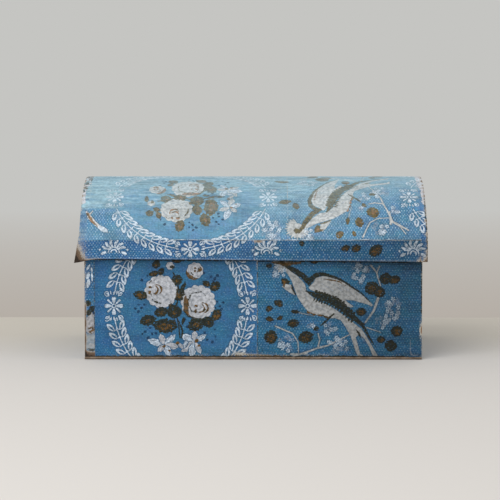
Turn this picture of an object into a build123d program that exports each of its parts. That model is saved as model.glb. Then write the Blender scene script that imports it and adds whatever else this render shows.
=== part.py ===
from build123d import *
from math import sqrt
import os

# A keepsake box of pasteboard with a vaulted lid, covered in sheets of printed wallpaper.
# Sizes are in millimetres. X runs along the box, -Y is its front and +Z is up. The origin is
# the middle of the footprint, on the surface that the box stands on.

# Overall sizes
body_length = 430.0
body_depth = 250.0
hinge_height = 125.2
lid_rim_height = 27.7
dome_rise = 75.0

# Thickness of the boards and sheets
wall_board = 3.0
base_board_thickness = 3.0
lid_board = 3.0
wallpaper = 0.3
base_paper_thickness = 0.3
lining = 0.25
linen = 0.5

# Laps and turned edges of the sheets
left_lap = 12.7
right_lap = 12.0
back_lap = 10.0
body_turn_in = 12.0
lid_turn_in = 10.0
dome_left_lap = 9.0
dome_right_lap = 8.0
linen_leaf = 25.0
linen_below_crease = 2.7
linen_shown = 4.0
linen_step_slope = 1.0
front_seam_x = 5.0
band_seam_x = 2.0
dome_seam_x = 44.0

# Fits
base_proud = 0.5
base_paper_margin = 2.0
lid_seat_clearance = 0.3
hinge_clearance = 0.2
hinge_standoff = 0.15
rear_clearance = 1.5
swing_margin = 0.35
swing_share = 1.2

# The lid's rim comes inwards as it swings up past the walls, which sets the gap round them
rim_swing = swing_share * lid_rim_height
lid_gap = swing_margin + body_depth - sqrt(body_depth**2 - rim_swing**2)

# Places along X of the body's boards and the lid's boards
body_half = body_length / 2
lid_half = body_half + wallpaper + lid_gap + lining + lid_board
lid_inner_half = lid_half - lid_board

# Places along Y. The origin is midway between the lid's front and the papered back
front_reach = wallpaper + lid_gap + lining + lid_board + wallpaper
back_reach = linen + wallpaper
body_middle_y = (front_reach - back_reach) / 2
front_y = body_middle_y - body_depth / 2
back_y = body_middle_y + body_depth / 2
front_inner_y = front_y + wall_board
back_inner_y = back_y - wall_board
lid_front_y = front_y - wallpaper - lid_gap - lining - lid_board
lid_back_y = back_y
lid_middle_y = (lid_front_y + lid_back_y) / 2
lid_half_chord = (lid_back_y - lid_front_y) / 2
hinge_y = back_y + linen + wallpaper + hinge_standoff

# Heights of the base, the hinge and the crease between the lid's rim and its dome
base_top = base_paper_thickness + base_board_thickness
back_wall_top = hinge_height - hinge_clearance
rim_bottom = hinge_height
lid_board_bottom = rim_bottom + wallpaper
crease_height = lid_board_bottom + lid_rim_height

# The dome's outer face is an arc through both creases, as high as the rise over its chord
dome_radius = (lid_half_chord**2 + dome_rise**2) / (2 * dome_rise)
dome_centre_height = crease_height + dome_rise - dome_radius


def dome_height(y, inset):
    """Height over y of the dome's face set in by inset from the board's outer face."""
    return dome_centre_height + sqrt((dome_radius - inset) ** 2 - (y - lid_middle_y) ** 2)


def crease_at(inset):
    """Height where the rim's face and the dome's face meet, both set in by inset."""
    return dome_height(lid_front_y + inset, inset)


# The closed lid's lining rests on the papered top edge of the front wall
wall_top_paper = dome_height(front_y - wallpaper, lid_board + lining) - lid_seat_clearance
wall_top = wall_top_paper - wallpaper

# Behind, the ends are cut back clear of the back rim, and where the dome comes as low again
rim_notch_y = back_inner_y - lining - rear_clearance
dome_notch_y = 2 * lid_middle_y - (front_y - wallpaper)
notch_y = min(rim_notch_y, dome_notch_y)
lining_top = wall_top - body_turn_in
lining_bottom = base_top + lining
back_lining_top = back_wall_top


def dome_arc(inset):
    """The dome's arc from the front crease to the back one, drawn in the open line."""
    front = (lid_front_y + inset, crease_at(inset))
    top = (lid_middle_y, dome_centre_height + dome_radius - inset)
    back = (lid_back_y - inset, crease_at(inset))
    return ThreePointArc(front, top, back)


def lid_outline(plane, inset, bottom):
    """The whole section of the lid, set in by inset, down to the height bottom."""
    with BuildSketch(plane) as section:
        with BuildLine():
            arc = dome_arc(inset)
            back_foot = (lid_back_y - inset, bottom)
            front_foot = (lid_front_y + inset, bottom)
            Polyline(arc @ 1, back_foot, front_foot, arc @ 0)
        make_face()
    return section.sketch


def lid_layer(plane, inset, thickness, front_bottom, back_bottom):
    """Section of a layer over or under the lid's boards, from front_bottom to back_bottom."""
    inner = inset + thickness
    with BuildSketch(plane) as section:
        with BuildLine():
            outer_arc = dome_arc(inset)
            inner_arc = dome_arc(inner)
            front_feet = [(lid_front_y + inset, front_bottom), (lid_front_y + inner, front_bottom)]
            back_feet = [(lid_back_y - inset, back_bottom), (lid_back_y - inner, back_bottom)]
            Polyline(outer_arc @ 0, *front_feet, inner_arc @ 0)
            Polyline(outer_arc @ 1, *back_feet, inner_arc @ 1)
        make_face()
    return section.sketch


def folded_sheet(plane, points, thickness, side=Side.LEFT):
    """Section of a sheet that lies on the line through the points and is folded at each."""
    with BuildSketch(plane) as section:
        with BuildLine():
            Polyline(*points)
            offset(amount=thickness, side=side, kind=Kind.INTERSECTION)
        make_face()
    return section.sketch


def panel(plane, low, high):
    """A rectangle on the plane between its low and high corners."""
    width = high[0] - low[0]
    height = high[1] - low[1]
    with BuildSketch(plane) as section:
        with Locations(low):
            Rectangle(width, height, align=(Align.MIN, Align.MIN))
    return section.sketch


def end_outline(plane, front, rear, top):
    """An end of the box, cut back behind, where the lid's back rim comes down."""
    with BuildSketch(plane) as section:
        with BuildLine():
            low = [(front, base_top), (rear, base_top), (rear, back_wall_top)]
            high = [(notch_y, back_wall_top), (notch_y, top), (front, top)]
            Polyline(*low, *high, close=True)
        make_face()
    return section.sketch


# Boards of the box
with BuildPart() as base_board:
    base_half = body_half + base_proud
    low_corner = (-base_half, front_y - base_proud)
    high_corner = (base_half, back_y + base_proud)
    extrude(panel(Plane.XY.offset(base_paper_thickness), low_corner, high_corner), base_board_thickness)

with BuildPart() as front_wall:
    extrude(panel(Plane.YZ.offset(-body_half), (front_y, base_top), (front_inner_y, wall_top)), body_length)

with BuildPart() as back_wall:
    extrude(panel(Plane.YZ.offset(-body_half), (back_inner_y, base_top), (back_y, back_wall_top)), body_length)

with BuildPart() as left_wall:
    extrude(end_outline(Plane.YZ.offset(-body_half), front_inner_y, back_inner_y, wall_top), wall_board)

with BuildPart() as right_wall:
    mirror(left_wall.part, about=Plane.YZ)


# Papers of the box. Each is turned over the top edge and a little way down inside
inner_half = body_half - wall_board
front_fold = [
    (front_y, base_top),
    (front_y, wall_top),
    (front_inner_y, wall_top),
    (front_inner_y, lining_top),
]

with BuildPart() as front_paper_left:
    sheet_start = -body_half + left_lap
    fold_section = folded_sheet(Plane.YZ.offset(sheet_start), front_fold, wallpaper)
    extrude(fold_section, front_seam_x - sheet_start)
    strip_start = -inner_half + wallpaper
    inner_strip = folded_sheet(Plane.YZ.offset(strip_start), front_fold[2:], wallpaper)
    extrude(inner_strip, sheet_start - strip_start)

with BuildPart() as front_paper_right:
    strip_end = inner_half - wallpaper
    fold_section = folded_sheet(Plane.YZ.offset(front_seam_x), front_fold, wallpaper)
    extrude(fold_section, strip_end - front_seam_x)
    corner_section = folded_sheet(Plane.YZ.offset(strip_end), front_fold[:3], wallpaper)
    extrude(corner_section, body_half - strip_end)
    return_low = (front_y - wallpaper, base_top)
    return_high = (front_y + right_lap, wall_top_paper)
    extrude(panel(Plane.YZ.offset(body_half), return_low, return_high), wallpaper)
    top_low = (front_inner_y, wall_top)
    top_high = (front_y + right_lap, wall_top_paper)
    extrude(panel(Plane.YZ.offset(inner_half - wallpaper), top_low, top_high), wall_board + wallpaper)
    inside_low = (front_inner_y, lining_top)
    extrude(panel(Plane.YZ.offset(inner_half - wallpaper), inside_low, top_high), wallpaper)

with BuildPart() as back_paper:
    linen_foot = back_wall_top - linen_leaf
    back_line = [
        (back_y, base_top),
        (back_y, linen_foot - linen_step_slope),
        (back_y + linen, linen_foot),
        (back_y + linen, hinge_height - linen_shown),
    ]
    back_sheet_start = -body_half + back_lap
    back_section = folded_sheet(Plane.YZ.offset(back_sheet_start), back_line, wallpaper, Side.RIGHT)
    extrude(back_section, body_length - 2 * back_lap)

with BuildPart() as left_end_paper:
    face_plane = Plane.YZ.offset(-body_half - wallpaper)
    extrude(end_outline(face_plane, front_y - wallpaper, back_y + wallpaper, wall_top_paper), wallpaper)
    front_low = (front_y - wallpaper, base_top)
    front_high = (front_y, wall_top_paper)
    extrude(panel(Plane.YZ.offset(-body_half), front_low, front_high), left_lap)
    back_low = (back_y, base_top)
    back_high = (back_y + wallpaper, back_wall_top)
    extrude(panel(Plane.YZ.offset(-body_half), back_low, back_high), back_lap)
    over_low = (front_y, wall_top)
    over_high = (notch_y, wall_top_paper)
    extrude(panel(Plane.YZ.offset(-body_half), over_low, over_high), wall_board + wallpaper)
    lap_high = (front_inner_y + wallpaper, wall_top_paper)
    extrude(panel(Plane.YZ.offset(-body_half), over_low, lap_high), left_lap)
    inside_low = (front_inner_y, lining_top)
    extrude(panel(Plane.YZ.offset(-inner_half), inside_low, over_high), wallpaper)

with BuildPart() as right_end_paper:
    face_front = front_y + right_lap
    face_plane = Plane.YZ.offset(body_half)
    extrude(end_outline(face_plane, face_front, back_y + wallpaper, wall_top_paper), wallpaper)
    back_low = (back_y, base_top)
    back_high = (back_y + wallpaper, back_wall_top)
    extrude(panel(Plane.YZ.offset(body_half), back_low, back_high), -back_lap)
    over_low = (face_front, wall_top)
    over_high = (notch_y, wall_top_paper)
    extrude(panel(Plane.YZ.offset(body_half), over_low, over_high), -wall_board - wallpaper)
    inside_low = (face_front, lining_top)
    extrude(panel(Plane.YZ.offset(inner_half), inside_low, over_high), -wallpaper)

with BuildPart() as base_paper:
    paper_half = base_half - base_paper_margin
    low_corner = (-paper_half, front_y - base_proud + base_paper_margin)
    high_corner = (paper_half, back_y + base_proud - base_paper_margin)
    extrude(panel(Plane.XY, low_corner, high_corner), base_paper_thickness)


# Linings of the box. They meet the turned edges of the wallpaper
with BuildPart() as floor_lining:
    low_corner = (-inner_half, front_inner_y)
    high_corner = (inner_half, back_inner_y)
    extrude(panel(Plane.XY.offset(base_top), low_corner, high_corner), lining)

with BuildPart() as front_lining:
    section = panel(
        Plane.YZ.offset(-inner_half),
        (front_inner_y, lining_bottom),
        (front_inner_y + lining, lining_top),
    )
    extrude(section, 2 * inner_half)

with BuildPart() as back_lining:
    section = panel(
        Plane.YZ.offset(-inner_half),
        (back_inner_y - lining, lining_bottom),
        (back_inner_y, back_lining_top),
    )
    extrude(section, 2 * inner_half)

with BuildPart() as left_lining:
    with BuildSketch(Plane.YZ.offset(-inner_half)):
        with BuildLine():
            front_edge = front_inner_y + lining
            back_edge = back_inner_y - lining
            low_points = [(front_edge, lining_bottom), (back_edge, lining_bottom), (back_edge, back_wall_top)]
            high_points = [(notch_y, back_wall_top), (notch_y, lining_top), (front_edge, lining_top)]
            Polyline(*low_points, *high_points, close=True)
        make_face()
    extrude(amount=lining)

with BuildPart() as right_lining:
    mirror(left_lining.part, about=Plane.YZ)


# The lower leaf of the linen hinge, glued to the back wall between the laps of the end papers
with BuildPart() as hinge_linen_lower:
    leaf_low = (back_y, back_wall_top - linen_leaf)
    leaf_high = (back_y + linen, back_wall_top)
    extrude(panel(Plane.YZ.offset(back_sheet_start), leaf_low, leaf_high), body_length - 2 * back_lap)


# Boards of the lid. The rims and the dome board meet on a mitre along each crease
with BuildPart() as dome_board:
    with BuildSketch(Plane.YZ.offset(-lid_half)):
        with BuildLine():
            outer_arc = dome_arc(0)
            inner_arc = dome_arc(lid_board)
            Line(outer_arc @ 0, inner_arc @ 0)
            Line(outer_arc @ 1, inner_arc @ 1)
        make_face()
    extrude(amount=2 * lid_half)

with BuildPart() as lid_front_rim:
    with BuildSketch(Plane.YZ.offset(-lid_half)):
        with BuildLine():
            outer_face = [(lid_front_y, lid_board_bottom), (lid_front_y, crease_at(0))]
            rim_inner_y = lid_front_y + lid_board
            inner_face = [(rim_inner_y, crease_at(lid_board)), (rim_inner_y, lid_board_bottom)]
            Polyline(*outer_face, *inner_face, close=True)
        make_face()
    extrude(amount=2 * lid_half)

with BuildPart() as lid_back_rim:
    mirror(lid_front_rim.part, about=Plane.XZ.offset(-lid_middle_y))

with BuildPart() as lid_left_end:
    extrude(lid_outline(Plane.YZ.offset(-lid_half), lid_board, lid_board_bottom), lid_board)

with BuildPart() as lid_right_end:
    mirror(lid_left_end.part, about=Plane.YZ)


# Papers of the lid. The end papers lap onto the rims and the dome, the bands turn up inside
def dome_sheet(start, end):
    """A sheet over the dome board, from crease to crease and from start to end along X."""
    with BuildSketch(Plane.YZ.offset(start)) as section:
        with BuildLine():
            outer = dome_arc(-wallpaper)
            inner = dome_arc(0)
            Line(outer @ 0, inner @ 0)
            Line(outer @ 1, inner @ 1)
        make_face()
    return extrude(section.sketch, end - start, mode=Mode.PRIVATE)


def front_band(start, end):
    """A strip round the front rim, from start to end along X, turned up inside it."""
    fold = [
        (lid_front_y, crease_height),
        (lid_front_y, lid_board_bottom),
        (lid_front_y + lid_board, lid_board_bottom),
        (lid_front_y + lid_board, lid_board_bottom + lid_turn_in),
    ]
    section = folded_sheet(Plane.YZ.offset(start), fold, wallpaper, Side.RIGHT)
    return extrude(section, end - start, mode=Mode.PRIVATE)


def front_turn_in(start, end):
    """The strip's edge under the front rim and up inside it, from start to end along X."""
    fold = [
        (lid_front_y, lid_board_bottom),
        (lid_front_y + lid_board, lid_board_bottom),
        (lid_front_y + lid_board, lid_board_bottom + lid_turn_in),
    ]
    section = folded_sheet(Plane.YZ.offset(start), fold, wallpaper, Side.RIGHT)
    return extrude(section, end - start, mode=Mode.PRIVATE)


def lid_end_paper(lap):
    """The paper of the lid's left end, with a lap onto the rims and the dome."""
    with BuildPart() as sheet:
        extrude(lid_outline(Plane.YZ.offset(-lid_half - wallpaper), -wallpaper, rim_bottom), wallpaper)
        lap_layer = lid_layer(Plane.YZ.offset(-lid_half), -wallpaper, wallpaper, rim_bottom, lid_board_bottom)
        extrude(lap_layer, lap)
        under_low = (lid_front_y, rim_bottom)
        under_high = (lid_back_y - lid_board - lining, lid_board_bottom)
        extrude(panel(Plane.YZ.offset(-lid_half), under_low, under_high), lid_board + wallpaper)
        inside_low = (lid_front_y + lid_board, rim_bottom)
        inside_high = (lid_back_y - lid_board - lining, lid_board_bottom + lid_turn_in)
        extrude(panel(Plane.YZ.offset(-lid_inner_half), inside_low, inside_high), wallpaper)
    return sheet.part


left_lap_edge = -lid_half + dome_left_lap
right_lap_edge = lid_half - dome_right_lap
turn_in_half = lid_inner_half - wallpaper
linen_head = crease_height - linen_below_crease

with BuildPart() as dome_paper_left:
    add(dome_sheet(left_lap_edge, dome_seam_x))

with BuildPart() as dome_paper_right:
    add(dome_sheet(dome_seam_x, right_lap_edge))

with BuildPart() as lid_front_band_left:
    add(front_band(left_lap_edge, band_seam_x))
    add(front_turn_in(-turn_in_half, left_lap_edge))

with BuildPart() as lid_front_band_right:
    add(front_band(band_seam_x, right_lap_edge))
    add(front_turn_in(right_lap_edge, turn_in_half))

with BuildPart() as lid_back_band:
    back_fold = [
        (lid_back_y, crease_height),
        (lid_back_y, linen_head + linen_step_slope),
        (lid_back_y + linen, linen_head),
        (lid_back_y + linen, hinge_height + linen_shown),
    ]
    band_section = folded_sheet(Plane.YZ.offset(left_lap_edge), back_fold, wallpaper)
    extrude(band_section, right_lap_edge - left_lap_edge)

with BuildPart() as lid_left_end_paper:
    add(lid_end_paper(dome_left_lap))

with BuildPart() as lid_right_end_paper:
    mirror(lid_end_paper(dome_right_lap), about=Plane.YZ)


# Linings of the lid, above its turned-up edges
lid_lining_bottom = lid_board_bottom + lid_turn_in

with BuildPart() as dome_lining:
    lining_plane = Plane.YZ.offset(-lid_inner_half)
    section = lid_layer(lining_plane, lid_board, lining, lid_lining_bottom, lid_board_bottom)
    extrude(section, 2 * lid_inner_half)

with BuildPart() as lid_left_lining:
    lining_section = lid_outline(Plane.YZ.offset(-lid_inner_half), lid_board + lining, lid_lining_bottom)
    extrude(lining_section, lining)

with BuildPart() as lid_right_lining:
    mirror(lid_left_lining.part, about=Plane.YZ)


# The upper leaf of the linen hinge, glued to the back rim between the laps of the end papers
with BuildPart() as hinge_linen_upper:
    leaf_low = (lid_back_y, lid_board_bottom)
    leaf_high = (lid_back_y + linen, linen_head)
    leaf_section = panel(Plane.YZ.offset(left_lap_edge), leaf_low, leaf_high)
    extrude(leaf_section, right_lap_edge - left_lap_edge)


# Each piece is written under its own name
pieces = {
    "base_board": base_board,
    "front_wall": front_wall,
    "back_wall": back_wall,
    "left_wall": left_wall,
    "right_wall": right_wall,
    "front_paper_left": front_paper_left,
    "front_paper_right": front_paper_right,
    "back_paper": back_paper,
    "left_end_paper": left_end_paper,
    "right_end_paper": right_end_paper,
    "base_paper": base_paper,
    "floor_lining": floor_lining,
    "front_lining": front_lining,
    "back_lining": back_lining,
    "left_lining": left_lining,
    "right_lining": right_lining,
    "hinge_linen_lower": hinge_linen_lower,
    "dome_board": dome_board,
    "lid_front_rim": lid_front_rim,
    "lid_back_rim": lid_back_rim,
    "lid_left_end": lid_left_end,
    "lid_right_end": lid_right_end,
    "dome_paper_left": dome_paper_left,
    "dome_paper_right": dome_paper_right,
    "lid_front_band_left": lid_front_band_left,
    "lid_front_band_right": lid_front_band_right,
    "lid_back_band": lid_back_band,
    "lid_left_end_paper": lid_left_end_paper,
    "lid_right_end_paper": lid_right_end_paper,
    "dome_lining": dome_lining,
    "lid_left_lining": lid_left_lining,
    "lid_right_lining": lid_right_lining,
    "hinge_linen_upper": hinge_linen_upper,
}

os.makedirs("parts", exist_ok=True)
for piece_name, piece in pieces.items():
    piece.part.label = piece_name
    export_step(piece.part, f"parts/{piece_name}.step")

print("lid gap", round(lid_gap, 3), "top of the front wall", round(wall_top, 3))
print("hinge axis at y", round(hinge_y, 3), "and z", hinge_height)
print("dome radius", round(dome_radius, 3), "wall front face at y", round(front_y, 3))
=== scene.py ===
"""Looks of an old pasteboard keepsake box with a vaulted lid, covered in printed wallpaper.

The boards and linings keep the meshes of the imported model. Each sheet of wallpaper is a fine
grid folded over its board, and carries its printed pattern as depths inside the edge of each
ink, which the paper's material turns into colour.
"""

import logging
import math
from collections.abc import Callable, Sequence
from dataclasses import dataclass, replace
from enum import Enum

import bpy
import numpy as np
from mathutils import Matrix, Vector

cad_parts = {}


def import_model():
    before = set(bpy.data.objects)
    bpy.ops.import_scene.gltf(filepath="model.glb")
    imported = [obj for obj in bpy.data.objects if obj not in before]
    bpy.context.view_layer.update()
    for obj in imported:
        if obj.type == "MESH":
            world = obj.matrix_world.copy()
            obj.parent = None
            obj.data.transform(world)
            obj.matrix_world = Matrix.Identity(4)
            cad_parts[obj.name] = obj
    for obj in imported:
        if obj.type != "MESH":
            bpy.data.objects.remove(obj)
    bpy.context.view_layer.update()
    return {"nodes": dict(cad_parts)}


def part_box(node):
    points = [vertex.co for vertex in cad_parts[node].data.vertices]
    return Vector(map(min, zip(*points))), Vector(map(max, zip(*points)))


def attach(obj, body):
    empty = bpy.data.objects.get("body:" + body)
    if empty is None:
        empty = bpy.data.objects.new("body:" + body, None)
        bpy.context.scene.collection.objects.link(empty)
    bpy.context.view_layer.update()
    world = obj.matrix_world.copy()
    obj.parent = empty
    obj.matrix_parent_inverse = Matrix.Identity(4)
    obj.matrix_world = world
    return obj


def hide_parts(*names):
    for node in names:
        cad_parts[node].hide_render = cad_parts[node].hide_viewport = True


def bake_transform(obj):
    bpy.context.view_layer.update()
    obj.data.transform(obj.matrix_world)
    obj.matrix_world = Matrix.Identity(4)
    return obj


log = logging.getLogger("paper_box")

MM = 0.001
SEED = 1790
# Depth of a place that an ink doesn't reach, and how far round a shape its depths are printed.
UNPRINTED = -3.0
MARGIN = 5.0
# Keeps a length from being nothing before it divides.
TINY = 1e-9
# Wear of a sheet's underside, which shows its core.
BARE_WEAR = 0.55
# A wave texture repeats every 2 pi / (20 scale).
FULL_WAVE = 2 * math.pi / 20

Array = np.ndarray
Point = tuple[float, float]
Place = tuple[float, float, float]
Colour = tuple[float, float, float, float]
Rows = tuple[tuple[float, ...], ...]
Tree = bpy.types.NodeTree
Socket = bpy.types.NodeSocket


class Body(Enum):
    """The two bodies that pieces ride on."""

    BOX = "box"
    LID = "lid"


class Ink(Enum):
    """The printed layers, each stored on a sheet under its own attribute name."""

    FIELD = "ink_field"
    CREAM = "ink_cream"
    CHALK = "ink_chalk"
    SHADE = "ink_shade"
    NAVY = "ink_navy"
    OLIVE = "ink_olive"
    BROWN = "ink_brown"


FIELD, CREAM, CHALK, SHADE, NAVY, OLIVE, BROWN = Ink

# How the inks have thinned: the mottle's value where an ink is gone and where it is whole, and
# its cover there.
COVER = {
    CREAM: (0.22, 0.40, 0.98), CHALK: (0.28, 0.48, 0.97), SHADE: (0.32, 0.62, 0.85),
    NAVY: (0.25, 0.45, 0.92), OLIVE: (0.27, 0.44, 0.97), BROWN: (0.24, 0.42, 0.95),
}


def linear(hex_colour: str) -> Colour:
    """Turn an sRGB hex colour into the linear colour that a shader takes.

    Args:
        hex_colour: six hex digits, such as "386791".

    Returns:
        Linear red, green, blue and an alpha of 1.
    """
    values = [int(hex_colour[i : i + 2], 16) / 255 for i in (0, 2, 4)]
    red, green, blue = (v / 12.92 if v <= 0.04045 else ((v + 0.055) / 1.055) ** 2.4 for v in values)
    return (red, green, blue, 1.0)


def scaled(hex_colour: str, by: float) -> Colour:
    """Give a hex colour's linear colour with its red, green and blue times a number, up to 1."""
    red, green, blue = (min(1.0, by * c) for c in linear(hex_colour)[:3])
    return (red, green, blue, 1.0)


def smooth(value: Array, low: float, high: float) -> Array:
    """Rise smoothly from 0 at low to 1 at high: 3t^2 - 2t^3 of the clipped share t."""
    share = np.clip((value - low) / (high - low), 0.0, 1.0)
    return share * share * (3.0 - 2.0 * share)


def bell(*shares: Array) -> Array:
    """Fall off as a bell curve: exp of less the sum of the squares."""
    return np.exp(-sum(share**2 for share in shares))


def ripple(across: Array, along: Array, wavelength: float, seed: int, waves: int = 7) -> Array:
    """Give a smooth random surface of about -1 to 1.

    It is the mean of plane cosine waves of near the same wavelength that run in seeded random
    directions, times the square root of their number.

    Args:
        across: first coordinate in mm, any shape.
        along: second coordinate in mm, broadcast against the first.
        wavelength: distance between crests in mm.
        seed: number that fixes the directions.
        waves: how many plane waves are added.

    Returns:
        An array of the broadcast shape.
    """
    rng = np.random.default_rng(SEED + seed)
    total = np.zeros(np.broadcast(across, along).shape)
    full = 2 * math.pi
    for heading, phase, stretch in zip(
        rng.uniform(0, full, waves), rng.uniform(0, full, waves), rng.uniform(0.75, 1.4, waves)
    ):
        pace = full / (wavelength * stretch)
        total += np.cos(pace * (math.cos(heading) * across + math.sin(heading) * along) + phase)
    return total / math.sqrt(waves)


def polar(reach: float, degrees: float, about: Point = (0.0, 0.0)) -> Point:
    """Give the point at a distance and a direction from another point."""
    angle = math.radians(degrees)
    return (about[0] + reach * math.cos(angle), about[1] + reach * math.sin(angle))


def turned(x: float, y: float, degrees: float, about: Point) -> Point:
    """Turn the point (x, y) round the origin and shift it."""
    return polar(y, degrees + 90, polar(x, degrees, about))


def arc(radius: float, angles: Array) -> list[Point]:
    """Give the points of a circle at some angles in radians."""
    return [(float(radius * math.cos(a)), float(radius * math.sin(a))) for a in angles]


# Shapes that a block prints


@dataclass(frozen=True)
class Shape:
    """A form round its own origin.

    Its depth is a function of x and y in mm that is positive inside and counts the distance to
    the edge. Its reach is how far it extends from the origin.
    """

    depth: Callable[[Array, Array], Array]
    reach: float


def oval(half_width: float, half_height: float) -> Shape:
    """Cut an ellipse. Its depth is k(1 - k) over the length of its gradient, with k = |(x/a, y/b)|.

    Args:
        half_width: a in mm.
        half_height: b in mm.

    Returns:
        The shape.
    """

    def depth(x: Array, y: Array) -> Array:
        """Measure the depth at x and y."""
        k = np.hypot(x / half_width, y / half_height) + TINY
        return k * (1.0 - k) / (np.hypot(x / half_width**2, y / half_height**2) + TINY)

    return Shape(depth, max(half_width, half_height))


def leaf(length: float, width: float) -> Shape:
    """Cut a leaf with two pointed tips on x: the overlap of two circles of equal radius.

    Args:
        length: from tip to tip in mm.
        width: across its middle in mm.

    Returns:
        The shape.
    """
    radius = ((length / 2) ** 2 + (width / 2) ** 2) / width
    drop = radius - width / 2
    return Shape(lambda x, y: radius - np.hypot(x, np.abs(y) + drop), max(length, width) / 2)


def serrated(length: float, width: float, teeth: int, bite: float) -> Shape:
    """Cut a broad toothed leaf: two overlapping circles less two uneven sawtooths of the polar angle.

    Args:
        length: along x in mm.
        width: along y in mm.
        teeth: number of the larger teeth.
        bite: depth of the teeth in mm.

    Returns:
        The shape.
    """
    body = leaf(max(length * 1.14, width * 1.06), width)

    def depth(x: Array, y: Array) -> Array:
        """Measure the depth.

        Args:
            x: first coordinate.
            y: second coordinate.

        Returns:
            The depth at each place.
        """
        angle = np.arctan2(y / width, x / length)
        fine = 0.5 * np.abs(np.sin((teeth + 5) * angle / 2 + 1.1))
        return body.depth(x, y) - bite * (0.65 * np.abs(np.sin(teeth * angle / 2)) + fine)

    return Shape(depth, body.reach)


def scalloped(radius: float, lobes: int, bite: float) -> Shape:
    """Cut a round head of petals: a disc whose radius swells by |cos| over each lobe.

    Args:
        radius: to the lobes' tops in mm.
        lobes: number of petals round the rim.
        bite: depth of the notches between them in mm.

    Returns:
        The shape.
    """

    def depth(x: Array, y: Array) -> Array:
        """Measure the depth at x and y."""
        swell = np.abs(np.cos(lobes * np.arctan2(y, x) / 2))
        return radius - bite * (1 - swell) - np.hypot(x, y)

    return Shape(depth, radius)


def from_run(x: Array, y: Array, start: Point, end: Point) -> tuple[Array, Array]:
    """Measure how far places are from a straight run.

    Args:
        x: first coordinate of the places.
        y: second coordinate of the places.
        start: where the run starts.
        end: where it ends.

    Returns:
        The distance, and the share of the run at its nearest point.
    """
    run_x, run_y = end[0] - start[0], end[1] - start[1]
    share = ((x - start[0]) * run_x + (y - start[1]) * run_y) / (run_x**2 + run_y**2 + TINY)
    share = np.clip(share, 0, 1)
    return np.hypot(x - start[0] - share * run_x, y - start[1] - share * run_y), share


def stroke(points: Sequence[Point], widths: Sequence[float]) -> Shape:
    """Cut a brushed line: the nearest of its runs, each a cone between the two half widths.

    Args:
        points: the line's points in mm.
        widths: its width at each point in mm.

    Returns:
        The shape.
    """

    def depth(x: Array, y: Array) -> Array:
        """Measure the depth.

        Args:
            x: first coordinate.
            y: second coordinate.

        Returns:
            The depth at each place.
        """
        best = np.full(np.broadcast(x, y).shape, UNPRINTED)
        for start, end, thick, thin in zip(points, points[1:], widths, widths[1:]):
            away, share = from_run(x, y, start, end)
            best = np.maximum(best, (thick + share * (thin - thick)) / 2 - away)
        return best

    return Shape(depth, max(math.hypot(*p) for p in points) + max(widths) / 2)


def patch(points: Sequence[Point]) -> Shape:
    """Cut a filled outline: the distance to its nearest side, signed by the even-odd crossing count.

    Args:
        points: the outline's corners in mm.

    Returns:
        The shape.
    """

    def depth(x: Array, y: Array) -> Array:
        """Measure the depth.

        Args:
            x: first coordinate.
            y: second coordinate.

        Returns:
            The depth at each place.
        """
        nearest = np.full(np.broadcast(x, y).shape, np.inf)
        inside = np.zeros(nearest.shape, bool)
        for start, end in zip(points, [*points[1:], points[0]]):
            nearest = np.minimum(nearest, from_run(x, y, start, end)[0])
            run_x, run_y = end[0] - start[0], end[1] - start[1]
            crosses = (start[1] > y) != (end[1] > y)
            inside ^= crosses & (x < start[0] + (y - start[1]) * run_x / (run_y or TINY))
        return np.where(inside, nearest, -nearest)

    return Shape(depth, max(math.hypot(*p) for p in points))


def rays(count: int, inner: float, outer: float, width: float, phase: float) -> Shape:
    """Cut petals round a centre: one leaf along x, met again at every turn of a full circle / count.

    Args:
        count: number of petals.
        inner: where a petal starts in mm.
        outer: where it ends in mm.
        width: its width in mm.
        phase: turn of the first one in degrees.

    Returns:
        The shape.
    """
    petal = leaf(outer - inner, width)
    step = 2 * math.pi / count

    def depth(x: Array, y: Array) -> Array:
        """Measure the depth.

        Args:
            x: first coordinate.
            y: second coordinate.

        Returns:
            The depth at each place.
        """
        angle = np.arctan2(y, x) - math.radians(phase)
        angle = angle - step * np.round(angle / step)
        reach = np.hypot(x, y)
        return petal.depth(reach * np.cos(angle) - (inner + outer) / 2, reach * np.sin(angle))

    return Shape(depth, outer)


def ring(radius: float, width: float) -> Shape:
    """Cut a round band: half its width less the distance from its middle circle."""
    return Shape(lambda x, y: width / 2 - np.abs(np.hypot(x, y) - radius), radius + width / 2)


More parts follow.
